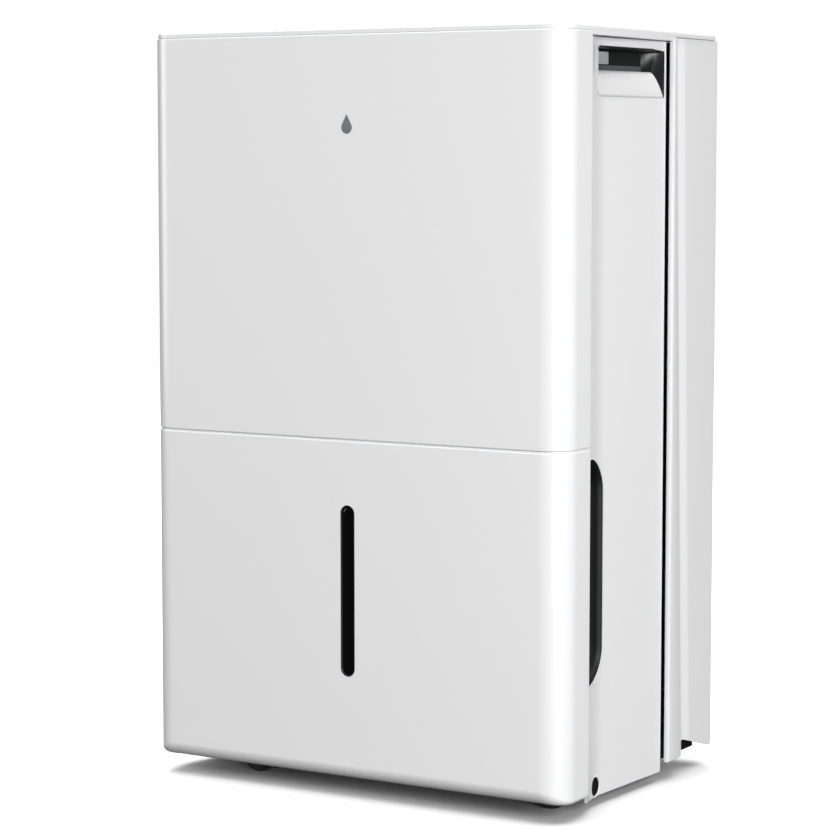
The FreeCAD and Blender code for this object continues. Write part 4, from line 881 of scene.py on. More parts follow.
# ---------------------------------------------------------------- front
@dataclass
class FrontPanels:
    """The two white mouldings of the front, with the level window and the raindrop inlay."""

    wall: float = 3.0
    corner: float = 22.0
    edge: float = 1.2
    foot: float = 12.0
    foot_side: float = 3.2
    foot_blend: float = 1.5
    slot_half: float = 6.8
    slot_low: float = 2.8
    slot_high: float = 4.0
    corner_steps: int = 14
    drop_gap: float = 0.15
    tongue_in: float = 2.2
    tongue_thick: float = 1.0
    shelf_up: float = 9.0
    shelf_thick: float = 2.0

    def __post_init__(self) -> None:
        """Reads the slab's place from the frame."""
        self.low, self.high = limits("bucket_front")
        self.top_low, self.top_high = limits("upper_front_panel")
        self.window_low, self.window_high = limits("water_window")

    def slab(self, name: str, line: Callable[[Stand], list[Flat]]) -> Thing:
        """Carries one wall section round the front slab.

        Args:
            name: the piece's name.
            line: gives the centre line of the section at a stand.

        Returns:
            The piece.
        """
        path = u_path(self.high.x, self.low.y, self.high.y, self.corner, self.corner_steps, self.edge)
        mesh = sweep_wall(path, lambda stand: ribbon(line(stand), self.wall, self.edge, stand.shrink))
        return mesh.object(name, Finish.WHITE_ABS)

    def drop_outline(self, grow: float) -> list[Flat]:
        """Outline of the raindrop on the front face.

        Args:
            grow: how far the outline stands outside the drop.

        Returns:
            The outline, from the tip round the belly.
        """
        low, high = limits("front_badge")
        r = (high.x - low.x) / 2 + grow
        tip = high.z + grow
        cz = low.z + r - grow
        lean = math.degrees(math.acos(min(1.0, r / (tip - cz))))
        return [(0.0, tip)] + arc(0.0, cz, r, 90 + lean, 450 - lean, 20)

    def build_upper(self) -> Thing:
        """Fixed upper panel, cut for the raindrop inlay.

        Returns:
            The piece.
        """
        half = self.wall / 2
        line = [(half, z) for z in (self.top_low.z, (self.top_low.z + self.top_high.z) / 2, self.top_high.z)]
        panel = self.slab("upper_front_shell", lambda stand: line)
        drop = prism(self.drop_outline(self.drop_gap), Axis.Y, self.low.y - 5, self.low.y + self.wall + 5)
        return carve(panel, [drop])

    def build_shelf(self) -> Thing:
        """Flat rib inside the upper panel, seen from the bucket's bay.

        Returns:
            The piece.
        """
        x = limits("right_side_panel")[0].x - 0.8
        outline = rounded_rect((-x, x), (self.low.y + self.wall, self.high.y - 1.0), 8.0)
        low = self.top_low.z + self.shelf_up
        shelf = soft_prism(outline, Axis.Z, low, low + self.shelf_thick, 0.4)
        return shelf.object("upper_front_shelf", Finish.WHITE_ABS)

    def slot_outline(self, grow: float) -> list[Flat]:
        """Upright stadium of the level window.

        Args:
            grow: how far the outline stands outside the slot.

        Returns:
            The outline.
        """
        r = self.slot_half + grow
        mid = (self.window_low.x + self.window_high.x) / 2
        low = self.window_low.z + self.slot_low - grow
        high = self.window_high.z - self.slot_high + grow
        return arc(mid, high - r, r, 0, 180, 16) + arc(mid, low + r, r, 180, 360, 16)

    def build_bucket_front(self) -> Thing:
        """Bucket front with its rolled foot and the window slot.

        Returns:
            The piece.
        """
        half = self.wall / 2

        def line(stand: Stand) -> list[Flat]:
            """Section whose foot is a full roll in front and tightens on the short sides.

            Args:
                stand: the place on the wall's path.

            Returns:
                The section's centre line.
            """
            share = 1 - abs(stand.in_x) ** self.foot_blend
            r = self.foot_side + (self.foot - self.foot_side) * share
            bottom = arc(r, self.low.z + r, r - half, 270, 180, 10)
            return bottom + [(half, (self.low.z + self.high.z) / 2), (half, self.high.z)]

        panel = self.slab("bucket_front_shell", line)
        slot = prism(self.slot_outline(0.0), Axis.Y, self.low.y - 5, self.low.y + self.wall + 5)
        return carve(panel, [slot])

    def build_tongue(self) -> Thing:
        """Rebate along the bucket front's top edge, which closes the split behind the surface.

        Returns:
            The piece.
        """
        path = u_path(self.high.x, self.low.y, self.high.y - 1.2, self.corner, self.corner_steps, self.edge)
        levels = (self.high.z - 4.0, self.high.z - 1.5, self.top_low.z - 0.15)
        line = [(self.tongue_in, z) for z in levels]
        mesh = sweep_wall(path, lambda stand: ribbon(line, self.tongue_thick, 0.2, stand.shrink))
        return mesh.object("bucket_front_tongue", Finish.WHITE_ABS)

    def build_bezel(self) -> Thing:
        """Smooth lining of the slot, dished towards the window.

        Returns:
            The piece.
        """
        back = self.wall + 1.2
        profile = ((-0.05, back), (-0.05, 0.5), (-0.4, 0.15), (-0.9, 0.35), (-1.5, 1.2), (-1.7, back))
        rings = []
        for grow, depth in profile:
            rings.append([Axis.Y.at(p, self.low.y + depth) for p in self.slot_outline(grow)])
        return Mesh().loft(rings, caps=False, wrap=True).object("window_bezel", Finish.BEZEL)

    def build_window(self) -> Thing:
        """Smoked window, a shallow dome in its bezel.

        Returns:
            The piece.
        """
        profile = ((-1.75, 4.0), (-1.75, 1.5), (-2.4, 1.05), (-3.6, 0.85), (-4.8, 0.8))
        rings = []
        for grow, depth in profile:
            rings.append([Axis.Y.at(p, self.low.y + depth) for p in self.slot_outline(grow)])
        return Mesh().loft(rings).object("level_window", Finish.WINDOW)

    def build_drop(self) -> Thing:
        """Raindrop inlay, flush with the panel.

        Returns:
            The piece.
        """
        outline = self.drop_outline(-0.05)
        drop = soft_prism(outline, Axis.Y, self.low.y + 0.12, self.low.y + 2.0, 0.25)
        return drop.object("raindrop_inlay", Finish.BADGE_GREY)

    def dress(self) -> None:
        """Builds and fastens every piece of the front."""
        upper = settle(self.build_upper(), "cabinet", "white_plastic", "upper_front_panel")
        even_normals(upper)
        settle(self.build_shelf(), "cabinet", "white_plastic")
        lower = settle(self.build_bucket_front(), "bucket", "white_plastic", "bucket_front")
        even_normals(lower)
        settle(self.build_tongue(), "bucket", "white_plastic")
        settle(self.build_bezel(), "bucket", "white_plastic")
        settle(self.build_window(), "bucket", "tinted_window", "water_window")
        settle(self.build_drop(), "cabinet", "badge", "front_badge")


# ---------------------------------------------------------------- sides
@dataclass
class SideWall:
    """One recessed waist wall: handle with its lip and pocket, grip recess, screw plug; the pocket and grip
    recess are near-black as painted shade.
    """

    side: int
    skin: float = 2.6
    cove_round: float = 92.0
    cove_long: float = 40.0
    waist_in: float = 5.0
    lip_rise: float = 14.0
    pocket_deep: float = 32.0
    grip_round: float = 27.0
    grip_deep: float = 13.0
    mouth_corner: float = 2.5
    lip_drop: float = 7.0
    lip_share: float = 0.41
    lip_edge: int = 17
    behind_slab: float = 1.5
    foot_rise: float = 2.4
    foot_run: float = 16.0
    rear_deep: float = 14.0
    rear_slope: float = 15.0

    def __post_init__(self) -> None:
        """Reads the wall's place from the frame, always on the right, and mirrors later."""
        low, high = limits("right_side_panel")
        self.front_y, self.rear_y = low.y, high.y
        self.low_z, self.high_z = low.z, high.z
        self.rear_x = high.x
        scoop_low, scoop_high = limits("right_handle_scoop")
        self.mouth_y = (scoop_low.y + 2.0, high.y - 3.5)
        self.mouth_z = (scoop_low.z + 2.0 - self.lip_drop, scoop_high.z - 2.0)
        grip_low, grip_high = limits("right_grip_liner")
        self.grip_rear = grip_high.y - 2.0
        self.grip_z = (grip_low.z + 2.0, grip_high.z - 2.0)
        panel_low, panel_high = limits("bucket_front")
        self.slab_y = panel_high.y
        self.foot_top = panel_low.z + 17.0
        plug_low, plug_high = limits("side_screw_plugs")
        plug = middle("side_screw_plugs")
        self.plug = (plug.y, plug.z, (plug_high.y - plug_low.y) / 2)

    @property
    def word(self) -> str:
        """Which side it is, for names."""
        return "right" if self.side > 0 else "left"

    def face_x(self, y: float) -> float:
        """Outer face of the wall: it sweeps out to the front slab's edge and leans out to the rear.

        Args:
            y: place along the wall.

        Returns:
            The face's x.
        """
        start = self.slab_y + self.cove_long
        straight = self.rear_x - self.waist_in * min(1.0, (self.rear_y - y) / (self.rear_y - start))
        short = min(self.cove_long, max(0.0, start - y))
        sweep = self.cove_round - math.sqrt(self.cove_round ** 2 - short ** 2)
        return straight + sweep if y > self.slab_y - 0.1 else self.rear_x + self.behind_slab

    def foot_lift(self, y: float, z: float) -> float:
        """How far the wall's lower edge rises where it runs out to the front slab.

        Args:
            y: place along the wall.
            z: height of the point; only the lower edge moves.

        Returns:
            The rise.
        """
        if z > self.low_z + 1.0:
            return 0.0
        return self.foot_rise * min(1.0, max(0.0, (self.slab_y + self.foot_run - y) / self.foot_run))

    def mirror(self, mesh: Mesh) -> Mesh:
        """Flips a right-hand mesh onto this side."""
        mesh.points = [(p[0] * self.side, p[1], p[2]) for p in mesh.points]
        return mesh

    def mouth(self) -> list[Flat]:
        """Outline of the handle opening, with a finer corner at the lip's rear end.

        Returns:
            The outline.
        """
        (y0, y1), (z0, z1), r = self.mouth_y, self.mouth_z, self.mouth_corner
        points = arc(y1 - r, z1 - r, r, 0, 90, 5) + arc(y0 + r, z1 - r, r, 90, 180, 5)
        return points + arc(y0 + r, z0 + r, r, 180, 270, 5) + arc(y1 - r, z0 + r, r, 270, 360, 8)

    def grip(self, grow: float = 0.0) -> list[Flat]:
        """Outline of the grip recess: square at the front, round at the rear.

        Args:
            grow: how far the outline stands outside the recess.

        Returns:
            The outline.
        """
        y = (self.slab_y - 14.0, self.grip_rear + grow)
        z = (self.grip_z[0] - grow, self.grip_z[1] + grow)
        r = self.grip_round + grow
        rear = arc(y[1] - r, z[1] - r, r, 90, 0, 10) + arc(y[1] - r, z[0] + r, r, 0, -90, 10)
        return [(y[0], z[0]), (y[0], z[1])] + rear

    def build_wall(self) -> Thing:
        """Waist wall with its three openings.

        Returns:
            The piece.
        """
        span = self.rear_y - self.front_y
        stations = [self.front_y + span * i / 46 for i in range(47)]
        rear_x = self.face_x(self.rear_y)
        levels = ((self.low_z, 0.7), (self.low_z + 0.2, 0.3), (self.low_z + 0.7, 0.0), (self.high_z, 0.0))
        rings = []
        for z, shrink in levels:
            outer = [(self.face_x(y) - shrink, y) for y in stations[:-1]]
            outer += [(rear_x - shrink - 0.25, self.rear_y - 0.25), (rear_x - 0.9, self.rear_y)]
            inner = [(self.face_x(y) - self.skin, y) for y in reversed(stations)]
            rings.append([(x, y, z + self.foot_lift(y, z)) for x, y in outer + inner])
        wall = self.mirror(Mesh().loft(rings)).object(f"{self.word}_waist_wall", Finish.WHITE_ABS)
        plug_y, plug_z, plug_r = self.plug
        front, back, bottom = self.front_y - 5, self.slab_y + 0.6, self.low_z - 5
        foot = [(front, bottom), (back, bottom), (back, self.foot_top), (front, self.foot_top)]
        shapes = (self.mouth(), self.grip(), foot, hole((plug_y, plug_z), plug_r + 0.3))
        low, high = sorted((self.side * 150.0, self.side * 230.0))
        return carve(wall, [prism(shape, Axis.X, low, high) for shape in shapes])

    def build_pocket(self) -> Thing:
        """Handle pocket: a smooth lip rolls in along the bottom and the rear end slopes forward.

        Returns:
            The piece.
        """
        outline = self.mouth()
        (y0, y1), (z0, z1) = self.mouth_y, self.mouth_z
        rise = self.lip_rise + self.lip_drop
        shares = [0.0, 0.002, 0.008, 0.02, 0.04, 0.07, 0.11, 0.16, 0.22, 0.29, 0.36, 0.41, 0.43, 0.6, 1.0]
        rings: list[list[Point]] = []
        for share in shares:
            ring: list[Point] = []
            for y, z in outline:
                v = (z - z0) / (z1 - z0)
                u = (y - y0) / (y1 - y0)
                depth = share * (self.pocket_deep * (1 - u) + self.rear_deep * u)
                roll = min(1.0, share / self.lip_share)
                up = rise * math.sqrt(1 - (1 - roll) ** 2)
                slant = max(share, 0.95 * up / rise * (1 - v))
                ring.append((
                    self.face_x(y) - depth, y + 2.0 * share * (1 - u) - self.rear_slope * slant * u,
                    z + up * (1 - v) - 1.5 * share * v,
                ))
            rings.append(ring)
        mesh = Mesh().loft(rings, caps=False)
        n = len(outline)
        mesh.faces.append(tuple(range((len(rings) - 1) * n, len(rings) * n)))
        thing = self.mirror(mesh).object(f"{self.word}_handle_pocket", Finish.WHITE_ABS)
        # the lip's faces stay white and the rest of the pocket is near-black: painted shade for the shadow
        # inside the handle
        thing.data.materials.append(Finish.SCOOP_GREY.material())
        lip_rings = sum(1 for share in shares if share <= self.lip_share) - 1
        for face in thing.data.polygons:
            band, place = divmod(face.index, n)
            face.material_index = 0 if band < lip_rings and abs(place - self.lip_edge) <= 2 else 1
        return self.thicken(thing, 1.4)

    def thicken(self, thing: Thing, wall: float) -> Thing:
        """Gives an open skin its moulded wall, away from the outside.

        Args:
            thing: the open skin.
            wall: wall thickness.

        Returns:
            The piece.
        """
        modifier = thing.modifiers.new("moulded_wall", "SOLIDIFY")
        modifier.thickness = wall * MM
        modifier.offset = 1.0
        return thing

    def build_half_lit_band(self) -> Thing:
        """Mid-grey strip along the pocket's back wall, just above the lip: painted half-shade for the dimly
        lit top of the lip.

        Returns:
            The piece.
        """
        (y0, y1), top = self.mouth_y, self.mouth_z[0] + self.lip_rise + self.lip_drop
        front = (self.face_x(y0) - self.pocket_deep + 5.0, y0 + 2.6)
        rear = (self.face_x(y1) - self.rear_deep + 0.6, y1 - self.rear_slope - 1.2)
        plan = [front, rear, (rear[0] - 2.0, rear[1]), (front[0] - 5.0, front[1])]
        half_lit_band = self.mirror(soft_prism(plan, Axis.Z, top - 3.0, top + 4.6, 0.3))
        return half_lit_band.object(f"{self.word}_handle_half_lit_band", Finish.LEDGE_GREY)

    def build_lit_patch(self) -> Thing:
        """Pale block at the front end of the pocket: painted light, a lit patch of the pocket's inner wall
        near its top.

        Returns:
            The piece.
        """
        y0, top = self.mouth_y[0], self.mouth_z[1]
        x = self.face_x(y0) - 8.0
        outline = rounded_rect((y0 + 0.6, y0 + 33.0), (top - 12.5, top - 2.6), 0.8, 3)
        lit_patch = self.mirror(soft_prism(outline, Axis.X, x - 12.0, x, 0.5))
        return lit_patch.object(f"{self.word}_handle_painted_light_patch", Finish.LINER_GREY)

    def build_grip(self) -> Thing:
        """Pocket behind the bucket front's edge, with a soft inner corner, coloured near-black as painted
        shade for the recess's shadow.

        Returns:
            The piece.
        """
        floor = self.rear_x - 3.6 - self.grip_deep
        rings: list[list[Point]] = [[(self.face_x(y) - 0.6, y, z) for y, z in self.grip(-0.1)]]
        for up, grow in ((5.0, -0.8), (1.6, -2.4), (0.3, -5.0)):
            rings.append([(floor + up, y, z) for y, z in self.grip(grow)])
        mesh = Mesh().loft(rings, caps=False)
        n = len(rings[0])
        mesh.faces.append(tuple(range(3 * n, 4 * n)))
        thing = self.mirror(mesh).object(f"{self.word}_grip_pocket", Finish.RECESS_BLACK)
        return self.thicken(thing, 1.2)

    def build_plug(self) -> Thing:
        """Black push-in plug with a shallow dish.

        Returns:
            The piece.
        """
        y, z, r = self.plug
        dish = [(0.0, -0.9), (r * 0.55, -0.85), (r - 1.6, -0.5), (r - 0.9, -0.15)]
        edge = [(r - 0.3, -0.3), (r - 0.1, -0.8), (r - 0.1, -5.0), (0.0, -5.0)]
        plug = self.mirror(turned(dish + edge, (self.face_x(y), y, z), Axis.X, 40))
        return plug.object(f"{self.word}_screw_plug", Finish.BLACK_PP)

    def build_collar(self) -> Thing:
        """Fine raised rim round the plug's hole.

        Returns:
            The piece.
        """
        y, z, r = self.plug
        crest = [(r + 0.3, 0.1), (r + 0.7, 0.45), (r + 1.3, 0.4), (r + 1.7, -0.2)]
        profile = [(r + 0.3, -1.5)] + crest + [(r + 1.7, -1.5)]
        rim = self.mirror(turned(profile, (self.face_x(y), y, z), Axis.X))
        return rim.object(f"{self.word}_plug_rim", Finish.WHITE_ABS)

    def dress(self) -> None:
        """Builds and fastens the wall's pieces."""
        wall = settle(self.build_wall(), "cabinet", "white_plastic", f"{self.word}_side_panel")
        even_normals(wall)
        settle(self.build_pocket(), "cabinet", "grey_plastic", f"{self.word}_handle_scoop")
        settle(self.build_half_lit_band(), "cabinet", "grey_plastic")
        settle(self.build_lit_patch(), "cabinet", "grey_plastic")
        settle(self.build_grip(), "cabinet", "black_plastic", f"{self.word}_grip_liner")
        settle(self.build_collar(), "cabinet", "white_plastic")
        names = ["side_screw_plugs"] if self.side > 0 else []
        settle(self.build_plug(), "cabinet", "black_plastic", *names)


# ---------------------------------------------------------------- top
@dataclass
class TopCover:
    """Cover with its overhanging edge, air outlet, glossy control strip, read-out and keys."""

    corner_front: float = 21.0
    corner_rear: float = 13.0
    rim: float = 1.6
    under: float = 5.0
    seam: float = 0.12
    icon_tall: float = 0.06
    icon_wide: float = 0.65
    louvres: int = 8

    def __post_init__(self) -> None:
        """Reads the cover's place from the frame."""
        self.low, self.high = limits("top_cover")
        self.front_top = limits("upper_front_panel")[1].z
        self.slab_y = limits("upper_front_panel")[1].y
        self.rear_y = limits("rear_cover")[0].y
        self.fascia_low, self.fascia_high = limits("control_fascia")
        self.outlet_low, self.outlet_high = limits("outlet_grille")

    def plan(self) -> list[Flat]:
        """Outline of the cover seen from above, with a doubled point at each end of the waist.

        Returns:
            The outline.
        """
        x, y0, y1 = self.high.x, self.low.y, self.high.y
        f, b = self.corner_front, self.corner_rear
        right = arc(x - f, y0 + f, f, 270, 360, 10) + [(x, self.slab_y + 0.4), (x, self.slab_y + 0.6)]
        right += [(x, self.rear_y - 0.6), (x, self.rear_y - 0.4)] + arc(x - b, y1 - b, b, 0, 90, 8)
        left = [(-px, py) for px, py in reversed(right)]
        return right + left

    def underside(self, y: float) -> float:
        """Lower edge of the cover: level over the slabs and lower over the waist."""
        waist = self.slab_y + 0.5 < y < self.rear_y - 0.5
        return self.low.z if waist else self.front_top + self.seam

    def build_cover(self) -> Thing:
        """Cover shell with a rolled rim.

        Returns:
            The piece.
        """
        plan = self.plan()
        top = self.high.z
        flat = self.front_top + self.seam

        def ring(inset: float, height: Callable[[float], float]) -> list[Point]:
            """One loop round the cover.

            Args:
                inset: how far the loop lies inside the outline.
                height: gives the loop's height at a y of the outline.

            Returns:
                The loop's points.
            """
            return [(p[0], p[1], height(q[1])) for p, q in zip(inset_outline(plan, inset), plan)]

        rings = [
            ring(self.under, lambda y: flat),
            ring(self.under - 0.2, lambda y: min(flat, self.underside(y) + 0.01)),
            ring(0.5, self.underside),
            ring(0.1, lambda y: self.underside(y) + 0.25),
            ring(0.0, lambda y: self.underside(y) + 0.7),
        ]
        for i in range(6):
            a = math.radians(18 * i)
            level = top - self.rim * (1 - math.sin(a))
            rings.append(ring(self.rim * (1 - math.cos(a)), lambda y, level=level: level))
        cover = Mesh().loft(rings).object("top_cover_shell", Finish.COVER_ABS)
        outlet = self.opening(self.outlet_low, self.outlet_high, 0.4, 4.0)
        strip = self.opening(self.fascia_low, self.fascia_high, 0.4, 9.4)
        cuts = [
            prism(outlet, Axis.Z, self.low.z - 30, top + 5),
            prism(strip, Axis.Z, self.fascia_low.z - 0.2, top + 5),
        ]
        return carve(cover, cuts)

    def opening(self, low: Vector, high: Vector, gap: float, corner: float) -> list[Flat]:
        """Outline of an opening for a piece let in from above.

        Args:
            low: the piece's lowest corner.
            high: the piece's highest corner.
            gap: clearance all round.
            corner: corner radius.

        Returns:
            The outline.
        """
        return rounded_rect((low.x - gap, high.x + gap), (low.y - gap, high.y + gap), corner)

    def build_outlet(self) -> Thing:
        """Outlet frame with curved louvres and three ribs.

        Returns:
            The piece.
        """
        low, high = self.outlet_low, self.outlet_high
        mesh = Mesh()
        rim = rounded_rect((low.x, high.x), (low.y, high.y), 3.6)
        outside = ((0.0, -4.0), (0.0, -0.6), (0.2, -0.15), (0.7, 0.0))
        inside = ((3.2, -0.1), (3.7, -0.6), (3.7, -4.0))
        rings = []
        for inset, drop in outside + inside:
            rings.append([(p[0], p[1], high.z + drop) for p in inset_outline(rim, inset)])
        mesh.loft(rings, caps=False, wrap=True)
        pitch = (high.y - low.y - 8.0) / self.louvres
        for i in range(self.louvres):
            y = low.y + 4.0 + pitch * (i + 0.5)
            line = []
            for a in range(0, 91, 15):
                line.append((y - 2.2 + 0.9 * math.sin(math.radians(a)), high.z - 4.6 + 4.0 * a / 90))
            part = prism(ribbon(line, 1.1, 0.5, 0.0), Axis.X, low.x + 3.4, high.x - 3.4)
            mesh.add(part.points, part.faces)
        y0, y1, z0, z1 = low.y + 3.4, high.y - 3.4, high.z - 4.4, high.z - 2.0
        for x in (-0.5, 0.0, 0.5):
            cx = x * (high.x - low.x - 8)
            part = soft_prism([(y0, z0), (y1, z0), (y1, z1), (y0, z1)], Axis.X, cx - 0.9, cx + 0.9, 0.3)
            mesh.add(part.points, part.faces)
        return mesh.object("outlet_louvres", Finish.LINER_GREY)

    def build_fascia(self) -> Thing:
        """Glossy control strip with holes for the read-out and keys.

        Returns:
            The piece.
        """
        low, high = self.fascia_low, self.fascia_high
        outline = rounded_rect((low.x, high.x), (low.y, high.y), 9.0, 8)
        strip = soft_prism(outline, Axis.Z, high.z - 1.8, high.z, 0.5)
        fascia = strip.object("control_strip", Finish.FASCIA_BLACK)
        shapes = []
        for name in KEYS:
            (a, b), spot = limits(name), middle(name)
            shapes.append(hole((spot.x, spot.y), (b.x - a.x) / 2 + 0.35))
        a, b = limits("display_lens")
        shapes.append(self.opening(a, b, 0.2, 2.0))
        return carve(fascia, [prism(shape, Axis.Z, low.z - 5, high.z + 5) for shape in shapes])

    def build_display(self) -> Thing:
        """Smoked read-out lens with a soft edge.

        Returns:
            The piece.
        """
        a, b = limits("display_lens")
        outline = rounded_rect((a.x, b.x), (a.y, b.y), 1.8)
        return soft_prism(outline, Axis.Z, a.z, b.z, 0.3).object("readout_lens", Finish.DISPLAY)

    def build_digits(self) -> Thing:
        """Two lit seven-bar digits showing 50 percent humidity.

        Returns:
            The piece.
        """
        mesh = Mesh()
        mid_y, tall, wide, thick = middle("display_lens").y, 5.6, 6.4, 1.1
        top = limits("display_lens")[1].z
        spots = {
            "a": (0, tall, 1), "d": (0, -tall, 1), "g": (0, 0, 1),
            "f": (-wide / 2, tall / 2, 0), "b": (wide / 2, tall / 2, 0),
            "e": (-wide / 2, -tall / 2, 0), "c": (wide / 2, -tall / 2, 0),
        }
        for place, bars in ((-7.0, "afgcd"), (7.0, "abcdef")):
            for bar in bars:
                dx, dy, flat = spots[bar]
                hx, hy = (wide / 2 - 0.7, thick / 2) if flat else (thick / 2, tall / 2 - 0.6)
                cx, cy = place + dx, mid_y + dy
                outline = rounded_rect((cx - hx, cx + hx), (cy - hy, cy + hy), 0.4, 3)
                part = prism(outline, Axis.Z, top - 0.2, top + self.icon_tall)
                mesh.add(part.points, part.faces)
        return mesh.object("readout_digits", Finish.SEGMENT)

    def stroke(self, points: Sequence[Flat], wide: float) -> Mesh:
        """A printed line of an even width on the control strip.

        Args:
            points: the line.
            wide: its width.

        Returns:
            The mesh.
        """
        z = self.fascia_high.z
        path = [Vector(p) for p in points]
        left: list[Flat] = []
        right: list[Flat] = []
        for i, p in enumerate(path):
            way = (path[min(i + 1, len(path) - 1)] - path[max(i - 1, 0)]).normalized()
            side = Vector((-way.y, way.x)) * wide / 2
            left.append((p.x + side.x, p.y + side.y))
            right.append((p.x - side.x, p.y - side.y))
        return prism(list(reversed(left)) + right, Axis.Z, z - 0.1, z + self.icon_tall)

    def build_icons(self) -> Thing:
        """Printed signs in front of the keys: power ring, fan, clock and two chevrons.

        Returns:
            The piece.
        """
        mesh = Mesh()
        for name in KEYS:
            x, y = middle(name).x, limits(name)[0].y - 7.0
            if name == "button_power":
                lines = [arc(x, y, 2.8, 130, 410, 20), [(x, y + 0.4), (x, y + 3.6)]]
            elif name == "button_fan":
                lines = []
                for t in (90, 210, 330):
                    cx, cy = x + 1.5 * math.cos(math.radians(t)), y + 1.5 * math.sin(math.radians(t))
                    lines.append(arc(cx, cy, 1.4, t - 20, t + 190, 10))
            elif name == "button_timer":
                lines = [arc(x, y, 2.9, 0, 352, 22), [(x, y + 1.9), (x, y), (x + 1.4, y - 0.4)]]
            else:
                tip = 1.4 if name == "button_up" else -1.4
                foot = -1.2 if name == "button_up" else 1.2
                lines = [[(x - 2.6, y + foot), (x, y + tip), (x + 2.6, y + foot)]]
            for line in lines:
                part = self.stroke(line, self.icon_wide)
                mesh.add(part.points, part.faces)
        return mesh.object("control_signs", Finish.ICON)

    def build_key(self, name: str) -> Thing:
        """Round key with a finger dish.

        Args:
            name: the key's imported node.

        Returns:
            The piece.
        """
        a, b = limits(name)
        r, spot = (b.x - a.x) / 2, middle(name)
        dish = [(0.0, b.z - 0.5), (r * 0.5, b.z - 0.42), (r * 0.8, b.z - 0.12), (r - 0.5, b.z)]
        edge = [(r - 0.15, b.z - 0.15), (r, b.z - 0.5), (r, a.z + 0.5), (0.0, a.z + 0.5)]
        key = turned(dish + edge, (spot.x, spot.y, 0.0), Axis.Z)
        return key.object(f"{name}_cap", Finish.BUTTON_WHITE)

    def dress(self) -> None:
        """Builds and fastens the top's pieces."""
        cover = settle(self.build_cover(), "cabinet", "white_plastic", "top_cover")
        even_normals(cover)
        settle(self.build_outlet(), "cabinet", "grey_plastic", "outlet_grille")
        settle(self.build_fascia(), "cabinet", "black_gloss", "control_fascia")
        settle(self.build_display(), "cabinet", "tinted_window", "display_lens")
        settle(self.build_digits(), "cabinet", "tinted_window")
        settle(self.build_icons(), "cabinet", "black_gloss")
        for name in KEYS:
            settle(self.build_key(name), f"{name}_key", "white_plastic", name)


